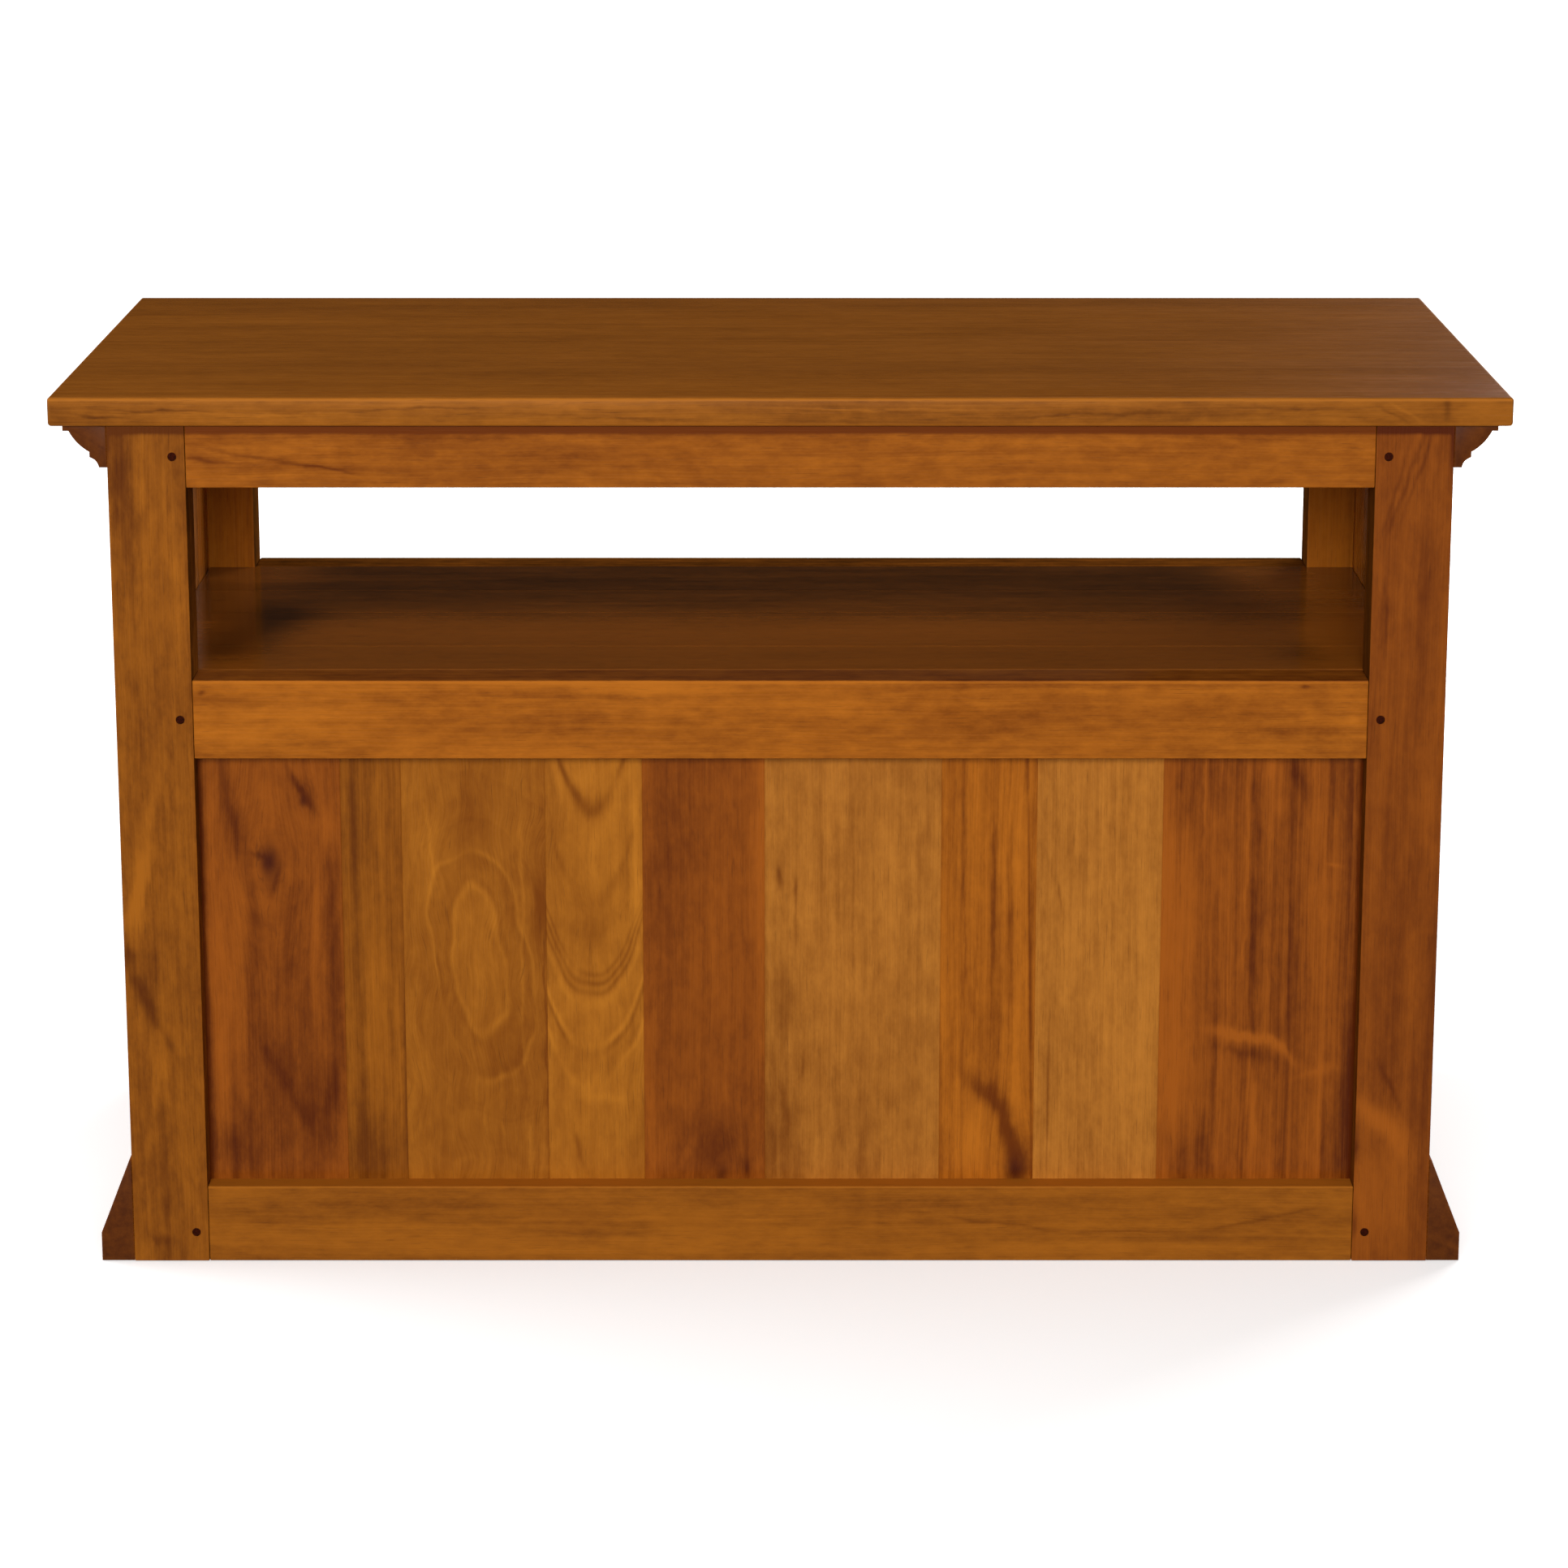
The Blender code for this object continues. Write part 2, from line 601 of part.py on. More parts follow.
def knob_profile():
    """Turned outline of a knob, along its own axis from the crown down to the end of its spigot."""
    neck_end = KNOB_COLLAR_LENGTH + KNOB_NECK_LENGTH
    shoulder = KNOB_LENGTH - KNOB_CROWN
    ball = (shoulder + neck_end) / 2
    points = [(0.0, KNOB_LENGTH)]
    for step in range(1, BALL_STEPS):
        angle = math.pi / 2 * step / BALL_STEPS
        points.append((KNOB_RADIUS * math.sin(angle), ball + (KNOB_LENGTH - ball) * math.cos(angle)))
    points.append((KNOB_RADIUS, ball))
    points += bowed((KNOB_RADIUS, ball), (KNOB_NECK_RADIUS, neck_end), (KNOB_RADIUS - KNOB_NECK_RADIUS) / 4)
    points += [
        (KNOB_NECK_RADIUS, KNOB_COLLAR_LENGTH),
        (KNOB_COLLAR_RADIUS, KNOB_COLLAR_LENGTH / 2),
        (KNOB_COLLAR_RADIUS, ASSEMBLY_GAP),
        (KNOB_SPIGOT_RADIUS, ASSEMBLY_GAP),
        (KNOB_SPIGOT_RADIUS, KNOB_HOLE_COVER - DOOR_THICKNESS),
        (0.0, KNOB_HOLE_COVER - DOOR_THICKNESS),
    ]
    return points


def build_knob(side, sign, wood, stile, pivot):
    """A turned knob whose spigot is glued into the meeting stile, at half the door's height."""
    across = sign * (DOOR_MEETING_EDGE + DOOR_STILE_WIDTH / 2)
    place = (across, FRONT, (DOOR_LOW + DOOR_HIGH) / 2)
    shape = turned_shape(knob_profile(), KNOB_SIDES)
    bmesh.ops.rotate(shape, verts=shape.verts, matrix=Matrix.Rotation(math.pi / 2, 3, "X"))
    knob = make_object(f"door_{side}_knob", shape, place, wood, pivot)
    smooth_round(knob)
    depth = DOOR_THICKNESS - KNOB_HOLE_COVER + 2 * ASSEMBLY_GAP
    hole = rod_shape(KNOB_SPIGOT_RADIUS + ASSEMBLY_GAP, depth, KNOB_SIDES, "y")
    apply_helper(stile, hole, (across, FRONT - ASSEMBLY_GAP + depth / 2, place[2]), "DIFFERENCE")


def build_leaf(name, block, knuckles, low, brass, parent):
    """A hinge leaf: a plate with its own knuckles round the pin and a web from the plate to each."""
    leaf = make_board(name, block, brass, parent=parent)
    axis = (block.x[0] + block.x[1]) / 2
    side = math.copysign(1, axis)
    pitch = LEAF_HEIGHT / KNUCKLE_COUNT
    for knuckle in knuckles:
        bottom = low + knuckle * pitch + ASSEMBLY_GAP / 2
        top = bottom + pitch - ASSEMBLY_GAP
        rod = rod_shape(KNUCKLE_RADIUS, top - bottom, HINGE_SIDES, "z")
        apply_helper(leaf, rod, (side * HINGE_X, HINGE_Y, (bottom + top) / 2), "UNION")
        join_block(leaf, Block(block.x, (HINGE_Y, FRONT + LEAF_MARGIN), (bottom, top)))
    bore = rod_shape(HINGE_PIN_RADIUS + ASSEMBLY_GAP, 2 * LEAF_HEIGHT, HINGE_SIDES, "z")
    apply_helper(leaf, bore, (side * HINGE_X, HINGE_Y, low + LEAF_HEIGHT / 2), "DIFFERENCE")


def build_hinge_pin(name, low, place, brass):
    """A hinge pin with a small button at each end of the barrel."""
    seat = LEAF_HEIGHT / 2 + ASSEMBLY_GAP / 2
    end = seat + HINGE_PIN_HEAD
    profile = [
        (0.0, end),
        (HINGE_PIN_RADIUS, end),
        (HINGE_PIN_HEAD_RADIUS, (seat + end) / 2),
        (HINGE_PIN_HEAD_RADIUS, seat),
        (HINGE_PIN_RADIUS, seat),
    ]
    profile += [(radius, -height) for radius, height in reversed(profile)]
    pin = make_object(name, turned_shape(profile, HINGE_SIDES), (*place, low + LEAF_HEIGHT / 2), brass)
    smooth_round(pin)


def build_hinges(side, sign, brass, post, stile, pivot):
    """Two butt hinges between a front post and a door's hinge stile, each leaf let in flush."""
    depth = (FRONT, FRONT + DOOR_THICKNESS - LEAF_MARGIN)
    lows = {
        "lower": DOOR_LOW + HINGE_INSET - LEAF_HEIGHT / 2,
        "upper": DOOR_HIGH - HINGE_INSET - LEAF_HEIGHT / 2,
    }
    plates = {
        "post": sided(sign, POST_IN, POST_IN + LEAF_THICKNESS),
        "door": sided(sign, DOOR_HINGE_EDGE - LEAF_THICKNESS, DOOR_HINGE_EDGE),
    }
    for level, low in lows.items():
        height = (low, low + LEAF_HEIGHT)
        name = f"hinge_{side}_{level}"
        for part, piece, knuckles, parent in (
            ("post", post, range(0, KNUCKLE_COUNT, 2), None),
            ("door", stile, range(1, KNUCKLE_COUNT, 2), pivot),
        ):
            block = Block(plates[part], depth, height)
            cut_block(piece, block.grown(ASSEMBLY_GAP))
            build_leaf(f"{name}_{part}_leaf", block, knuckles, low, brass, parent)
        build_hinge_pin(f"{name}_pin", low, (sign * HINGE_X, HINGE_Y), brass)


def build_doors(wood, brass, posts):
    """The two doors on their hinges. Each hangs from an empty on its hinge axis."""
    pivots = {}
    for side, sign in SIDES:
        pivot = bpy.data.objects.new(f"pivot_{side}", None)
        pivot.location = (sign * HINGE_X, HINGE_Y, 0.0)
        bpy.context.scene.collection.objects.link(pivot)
        stiles = build_door_frame(side, sign, wood, pivot)
        build_knob(side, sign, wood, stiles["meeting"], pivot)
        build_hinges(side, sign, brass, posts["front", side], stiles["hinge"], pivot)
        pivots[side] = pivot
    return pivots


def build_catch(dark_shell, steel, pivots):
    """A double magnetic catch under the middle front rail, and a plate for it inside each door."""
    plate_back = DOOR_IN + ASSEMBLY_GAP + CATCH_PLATE_THICKNESS
    plate_outer = DOOR_MEETING_EDGE + CATCH_PLATE_INSET + CATCH_PLATE_WIDTH
    top = MIDDLE_RAIL_LOW - ASSEMBLY_GAP
    low = top - CATCH_HEIGHT
    half = plate_outer + CATCH_SIDE_MARGIN
    front = plate_back + ASSEMBLY_GAP
    shell = Block((-half, half), (front, front + CATCH_DEPTH), (low, top))
    make_board("catch_magnet", shell, dark_shell, "xyz")
    for side, sign in SIDES:
        block = Block(
            sided(sign, DOOR_MEETING_EDGE + CATCH_PLATE_INSET, plate_outer),
            (DOOR_IN + ASSEMBLY_GAP, plate_back),
            (low, DOOR_HIGH - CATCH_PLATE_TOP_MARGIN),
        )
        make_board(f"catch_plate_{side}", block, steel, parent=pivots[side])


def main():
    """Build the cabinet."""
    for thing in list(bpy.data.objects):
        bpy.data.objects.remove(thing, do_unlink=True)
    wood = make_material("stained wood", (0.29, 0.087, 0.011), 0.38)
    dark_wood = make_material("dark peg wood", (0.05, 0.012, 0.004), 0.6)
    brass = make_material("brass", (0.50, 0.30, 0.09), 0.35, 1.0)
    steel = make_material("plated steel", (0.45, 0.45, 0.46), 0.3, 1.0)
    dark_shell = make_material("catch shell", (0.06, 0.028, 0.014), 0.5)
    posts = build_posts(wood)
    rails = build_long_rails(wood, posts)
    side_rails = build_side_rails(wood, posts)
    build_back_panel(wood, posts, rails)
    build_side_panels(wood, posts, side_rails)
    build_decks(wood, rails)
    build_pegs(dark_wood, posts, rails)
    build_mouldings("cornice", wood, cornice_profile(), CORNICE_PROJECTION, CORNICE_END_SETBACK)
    build_mouldings("skirting", wood, skirting_profile(), SKIRTING_PROJECTION, SKIRTING_END_SETBACK)
    build_top(wood)
    pivots = build_doors(wood, brass, posts)
    build_catch(dark_shell, steel, pivots)


main()
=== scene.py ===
import logging
import math
import random
from dataclasses import dataclass, field, replace
from enum import Enum
from typing import ClassVar, Iterable, Iterator, Sequence

import bmesh
import bpy
from mathutils import Matrix, Vector


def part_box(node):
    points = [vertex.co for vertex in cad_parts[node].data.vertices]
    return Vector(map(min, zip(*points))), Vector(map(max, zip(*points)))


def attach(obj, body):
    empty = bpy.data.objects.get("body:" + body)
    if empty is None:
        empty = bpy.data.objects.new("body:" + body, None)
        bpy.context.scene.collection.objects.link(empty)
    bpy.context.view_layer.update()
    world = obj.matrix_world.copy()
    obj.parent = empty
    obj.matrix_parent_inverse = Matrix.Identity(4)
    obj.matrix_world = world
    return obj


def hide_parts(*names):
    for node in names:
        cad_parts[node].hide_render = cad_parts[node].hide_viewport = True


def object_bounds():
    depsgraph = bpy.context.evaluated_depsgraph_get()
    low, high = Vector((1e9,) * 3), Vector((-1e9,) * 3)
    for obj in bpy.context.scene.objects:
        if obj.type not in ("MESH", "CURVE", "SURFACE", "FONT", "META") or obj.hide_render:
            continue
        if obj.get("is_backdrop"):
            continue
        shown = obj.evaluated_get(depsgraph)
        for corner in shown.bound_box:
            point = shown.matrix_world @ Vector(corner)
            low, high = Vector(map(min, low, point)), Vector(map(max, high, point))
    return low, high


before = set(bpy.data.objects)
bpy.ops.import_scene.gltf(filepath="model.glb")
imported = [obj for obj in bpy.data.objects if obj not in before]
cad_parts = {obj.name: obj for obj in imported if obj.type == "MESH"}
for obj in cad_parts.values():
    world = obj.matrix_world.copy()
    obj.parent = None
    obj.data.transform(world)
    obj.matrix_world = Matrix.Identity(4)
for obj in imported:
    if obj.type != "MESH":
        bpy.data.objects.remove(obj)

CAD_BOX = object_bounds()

# Looks of a solid wood TV cabinet: stained boards with their own figure, turned knobs and brass hinges.
LOG = logging.getLogger("tv_cabinet")

# Lengths in metres: joint gap, tuck of a panel into its groove, eased edges, and a stripe right through.
GAP = 0.0003
LAP = 0.003
EASE = 0.0015
PANEL_EASE = 0.0005
ENDLESS = 9.0

# Tolerances: same plane when sawing, same point when merging, same face when looking for one, and the digits
# of a metre that put points in order.
SAW_DIST = 1e-7
SAME_POINT = 1e-6
SAME_FACE = 1e-5
ORDER_DIGITS = 5

AXIS = {"x": 0, "y": 1, "z": 2}
SIDES = (("left", -1), ("right", 1))
LEVELS = ("top", "middle", "bottom")
EDGE_LAYER = "edge"
ORIGIN = (0.0, 0.0, 0.0)
ROUND_Y = Matrix.Rotation(math.pi / 2, 3, "X")

Colour = tuple[int, int, int]
Point2 = tuple[float, float]
Point3 = tuple[float, float, float]
Material = bpy.types.Material
Piece = bpy.types.Object
Socket = bpy.types.NodeSocket
Value = float | Socket

VECTOR, NUMBER, COLOUR = "NodeSocketVector", "NodeSocketFloat", "NodeSocketColor"


class Body(Enum):
    """Bodies of the frame that pieces ride on."""

    CARCASS = "carcass"
    DOOR_LEFT = "door_left"
    DOOR_RIGHT = "door_right"


class Slot(Enum):
    """Material slots of the record, passed along with new pieces."""

    WOOD = "stained_wood"
    BRASS = "hinge_brass"


class Lay(Enum):
    """How a board lies: the axes across its face, along its grain and through its depth."""

    UPRIGHT_BACK = "xzy"
    LENGTHWISE_BACK = "zxy"
    FLAT = "yxz"
    UPRIGHT_SIDE = "yzx"
    LENGTHWISE_SIDE = "zyx"


class Stain(Enum):
    """Dark and light tone of a stained board, as sRGB bytes."""

    HONEY = ((124, 63, 9), (200, 124, 36))
    AMBER = ((110, 50, 5), (192, 110, 27))
    SAND = ((124, 65, 14), (199, 126, 46))
    CARAMEL = ((98, 46, 5), (174, 101, 24))
    RUSSET = ((84, 31, 3), (168, 89, 22))
    UMBER = ((98, 49, 8), (180, 107, 30))
    TOBACCO = ((64, 36, 13), (180, 102, 30))


WARM = (Stain.HONEY, Stain.AMBER, Stain.CARAMEL, Stain.RUSSET)


@dataclass(frozen=True)
class Knot:
    """A knot on the face of a board, from the board's middle, in metres."""

    across: float
    along: float
    size: float
    dark: float


@dataclass(frozen=True)
class Patch:
    """A soft lighter or darker mark on a board's face, from its middle, in metres.

    Its turn, in degrees, tilts its height from along the grain towards across it.
    """

    across: float
    along: float
    wide: float
    high: float
    lift: float
    turn: float = 0.0


def marks(*rows: tuple[float, ...]) -> tuple[Patch, ...]:
    """Make soft marks from rows of their values."""
    return tuple(Patch(*row) for row in rows)


@dataclass(frozen=True)
class Ring:
    """A growth ring that stands out, at a distance from the pith in metres."""

    radius: float
    wide: float
    lift: float


@dataclass(frozen=True)
class Figure:
    """Grain of one board: where the pith of its tree lies and how strongly rings and fibres show.

    Its patches have ragged edges and show on its faces only. Its stripes, such as a dirty seam, are straight.
    """

    stain: Stain
    seed: float
    pith_across: float = 0.25
    pith_along: float = 0.0
    pith_depth: float = 0.08
    slope: float = 0.02
    bow: float = 0.0
    lean: float = 0.0
    wander: float = 0.006
    warp: float = 0.0
    rings: float = 110.0
    bands: float = 0.30
    lines: float = 0.20
    streaks: float = 0.30
    mottle: float = 0.28
    shade: float = 0.0
    rough: float = 0.27
    specular: float = 0.08
    knots: tuple[Knot, ...] = ()
    patches: tuple[Patch, ...] = ()
    stripes: tuple[Patch, ...] = ()
    marked: tuple[Ring, ...] = ()

    def striped(self, *rows: tuple[float, ...]) -> "Figure":
        """Give the same grain with more stripes."""
        return replace(self, stripes=(*self.stripes, *marks(*rows)))


def picked(seed: int, stains: Sequence[Stain], shade: float = 0.0) -> Figure:
    """Choose a plausible figure for a board that no view of the real one shows.

    Args:
        seed: Number that fixes the choice.
        stains: Stains to choose from.
        shade: Lift of the whole board.

    Returns:
        The figure.
    """
    dice = random.Random(seed)
    flat_sawn = dice.random() < 0.45
    across = dice.uniform(-0.02, 0.02) if flat_sawn else dice.choice((-1, 1)) * dice.uniform(0.12, 0.4)
    return Figure(
        stain=dice.choice(tuple(stains)),
        seed=seed * 1.37,
        pith_across=across,
        pith_along=dice.uniform(-0.2, 0.2),
        pith_depth=dice.uniform(0.03, 0.06) if flat_sawn else dice.uniform(0.04, 0.1),
        slope=dice.choice((-1, 1)) * dice.uniform(0.05, 0.16) if flat_sawn else dice.uniform(-0.03, 0.03),
        rings=dice.uniform(90.0, 150.0),
        bands=dice.uniform(0.10, 0.20),
        lines=dice.uniform(0.06, 0.12),
        streaks=dice.uniform(0.26, 0.42),
        mottle=dice.uniform(0.28, 0.36),
        shade=shade + dice.uniform(-0.06, 0.06),
    )


def linear(colour: Colour) -> tuple[float, float, float, float]:
    """Turn sRGB bytes into the linear colour that a socket takes.

    Args:
        colour: Red, green and blue bytes.

    Returns:
        Linear red, green and blue with full alpha.
    """
    shares = [channel / 255 for channel in colour]
    parts = [s / 12.92 if s <= 0.04045 else ((s + 0.055) / 1.055) ** 2.4 for s in shares]
    return (*parts, 1.0)


def grey(level: float) -> tuple[float, float, float, float]:
    """Give a linear grey with full alpha."""
    return (level, level, level, 1.0)


class NodeSheet:
    """Short calls that add nodes to a tree and wire them."""

    def __init__(self, tree: bpy.types.NodeTree) -> None:
        """Keep the tree that the nodes go to."""
        self.tree = tree

    @classmethod
    def blank(cls, owner: Material | bpy.types.World) -> "NodeSheet":
        """Give a material or the world an empty tree.

        Args:
            owner: The material or the world.

        Returns:
            The sheet of its tree.
        """
        owner.use_nodes = True
        owner.node_tree.nodes.clear()
        return cls(owner.node_tree)

    def add(
        self, kind: str, values: dict[str | int, object] | None = None, **settings: object
    ) -> bpy.types.Node:
        """Add a node, set its properties and fill its inputs.

        Args:
            kind: Blender's name of the node.
            values: Constants, or the outputs that give them, by the input's name or number.
            settings: Properties and their values.

        Returns:
            The new node.
        """
        node = self.tree.nodes.new(kind)
        for name, value in settings.items():
            setattr(node, name, value)
        self.fill(node, values or {})
        return node

    def fill(self, node: bpy.types.Node, values: dict[str | int, object]) -> None:
        """Give a node's inputs constants or links.

        Args:
            node: The node.
            values: Constants, or the outputs that give them, by the input's name or number.
        """
        for name, value in values.items():
            if isinstance(value, Socket):
                self.tree.links.new(value, node.inputs[name])
            else:
                node.inputs[name].default_value = value

    def math(self, operation: str, first: Value, second: Value = 0.0, third: Value = 0.0) -> Socket:
        """Add a Math node, by Blender's name of the operation, with up to three operands."""
        values = {0: first, 1: second, 2: third}
        return self.add("ShaderNodeMath", values, operation=operation).outputs[0]

    def times(self, first: Value, second: Value) -> Socket:
        """Multiply two values."""
        return self.math("MULTIPLY", first, second)

    def total(self, *values: Value) -> Socket:
        """Add up any number of values.

        Args:
            values: Constants and outputs.

        Returns:
            Their sum.
        """
        result = values[0]
        for value in values[1:]:
            result = self.math("ADD", result, value)
        return result

    def weighed(self, *pairs: tuple[Value, Value]) -> Socket:
        """Add up values, each times its weight."""
        return self.total(*(self.times(value, weight) for value, weight in pairs))

    def fall(self, way: Value, size: float) -> Socket:
        """Give minus the square of a way that is counted in a size, for the slope of a soft mark."""
        return self.times(self.times(way, way), -1.0 / size ** 2)

    def vector(self, across: Value, along: Value, depth: Value) -> Socket:
        """Join three values into a vector."""
        return self.add("ShaderNodeCombineXYZ", {0: across, 1: along, 2: depth}).outputs[0]

    def parts(self, vector: Socket) -> tuple[Socket, ...]:
        """Split a vector into its three values."""
        return tuple(self.add("ShaderNodeSeparateXYZ", {0: vector}).outputs)

    def mapped(self, place: Socket, scale: Point3, move: Point3 = ORIGIN) -> Socket:
        """Scale coordinates and then move them."""
        values = {"Vector": place, "Location": move, "Scale": scale}
        return self.add("ShaderNodeMapping", values, vector_type="POINT").outputs[0]

    def texture(self, place: Value, detail: float, rough: float, line: bool) -> bpy.types.NodeOutputs:
        """Add a noise texture.

        Args:
            place: Coordinates in units of the noise's own size, or one value for noise along a line.
            detail: Octaves.
            rough: Share that each octave keeps.
            line: Whether the noise runs along a line and not in space.

        Returns:
            The texture's outputs.
        """
        values = {"W" if line else "Vector": place, "Scale": 1.0, "Detail": detail, "Roughness": rough}
        return self.add("ShaderNodeTexNoise", values, noise_dimensions="1D" if line else "3D").outputs

    def noise(self, place: Value, detail: float, rough: float = 0.5, line: bool = False) -> Socket:
        """Give a noise texture's values from about -0.5 to 0.5; the arguments are the texture's."""
        return self.math("SUBTRACT", self.texture(place, detail, rough, line)["Fac"], 0.5)

    def ramp(self, value: Value, low: float, high: float) -> Socket:
        """Map a value from low to high smoothly to 0 to 1, clamped."""
        values = {"Value": value, "From Min": low, "From Max": high}
        return self.add("ShaderNodeMapRange", values, interpolation_type="SMOOTHSTEP").outputs["Result"]

    def blend(self, share: Value, first: object, second: object) -> Socket:
        """Mix two colours by the share of the second."""
        values = {"Factor": share, 6: first, 7: second}
        return self.add("ShaderNodeMix", values, data_type="RGBA", blend_type="MIX").outputs[2]

    def mix(self, share: Socket, first: bpy.types.Node, second: bpy.types.Node) -> bpy.types.Node:
        """Mix two shaders by the share of the second."""
        values = {0: share, 1: first.outputs[0], 2: second.outputs[0]}
        return self.add("ShaderNodeMixShader", values)


class SharedGroup:
    """A node group that every board uses with its own numbers."""

    NAME = "shared_group"
    NUMBERS: tuple[str, ...] = ()
    TAKES: dict[str, str] = {}
    GIVES: dict[str, str] = {}

    def __init__(self) -> None:
        """Make the group's tree with its sockets, and wire it."""
        self.tree = bpy.data.node_groups.new(self.NAME, "ShaderNodeTree")
        self.sheet = NodeSheet(self.tree)
        numbers = {name: NUMBER for name in self.NUMBERS}
        for side, sockets in (("INPUT", {**self.TAKES, **numbers}), ("OUTPUT", self.GIVES)):
            for name, kind in sockets.items():
                self.tree.interface.new_socket(name, in_out=side, socket_type=kind)
        self.given = self.sheet.add("NodeGroupInput").outputs
        self.sheet.add("NodeGroupOutput", self.draw())

    def draw(self) -> dict[str, Socket]:
        """Wire the group and name what it gives."""
        raise NotImplementedError

    def spread(self, cells: Point2, across: Value) -> Socket:
        """Stretch the board's coordinates along its grain and move them by its seed.

        Args:
            cells: Noise cells in a metre across the grain and along it.
            across: Place across the board.

        Returns:
            Coordinates for a noise.
        """
        sheet, seed = self.sheet, self.given["seed"]
        _, along, depth = sheet.parts(self.given["Board"])
        return sheet.vector(
            sheet.math("MULTIPLY_ADD", across, cells[0], seed),
            sheet.math("MULTIPLY_ADD", along, cells[1], sheet.times(seed, 0.73)),
            sheet.math("MULTIPLY_ADD", depth, cells[0], sheet.times(seed, 1.91)),
        )

    def use(self, sheet: NodeSheet, values: dict[str, object]) -> bpy.types.NodeOutputs:
        """Add the group to a material, fill its inputs and give its outputs."""
        return sheet.add("ShaderNodeGroup", values, node_tree=self.tree).outputs


class PithDistance(SharedGroup):
    """Distance of each point of a board from the pith of its tree, with the tree's own wander."""

    NAME = "board_pith_distance"
    NUMBERS = ("seed", "pith_across", "pith_along", "pith_depth", "slope", "bow", "lean", "wander")
    TAKES = {"Board": VECTOR}
    GIVES = {"Radius": NUMBER, "Across": NUMBER}
    DRIFT_CELLS = (7.0, 2.2)
    RIPPLE_CELLS = (45.0, 14.0)
    RIPPLE = 0.0022

    def draw(self) -> dict[str, Socket]:
        """Bend the board's coordinates and measure from the pith.

        Returns:
            The distance, and the bent place across the board.
        """
        sheet, given = self.sheet, self.given
        across, along, depth = sheet.parts(given["Board"])
        slow = sheet.noise(self.spread(self.DRIFT_CELLS, across), 2.0)
        drift = sheet.times(sheet.times(slow, 2.0), given["wander"])
        ripple = sheet.times(sheet.noise(self.spread(self.RIPPLE_CELLS, across), 2.0), self.RIPPLE)
        bent = sheet.total(across, drift, ripple)
        past = sheet.math("SUBTRACT", along, given["pith_along"])
        sloped = sheet.times(given["slope"], past)
        arched = sheet.times(given["bow"], sheet.times(past, past))
        below = sheet.total(given["pith_depth"], sloped, arched, depth, drift)
        pith = sheet.math("MULTIPLY_ADD", given["lean"], past, given["pith_across"])
        aside = sheet.math("SUBTRACT", bent, pith)
        squares = sheet.weighed((aside, aside), (below, below))
        return {"Radius": sheet.math("SQRT", squares), "Across": bent}


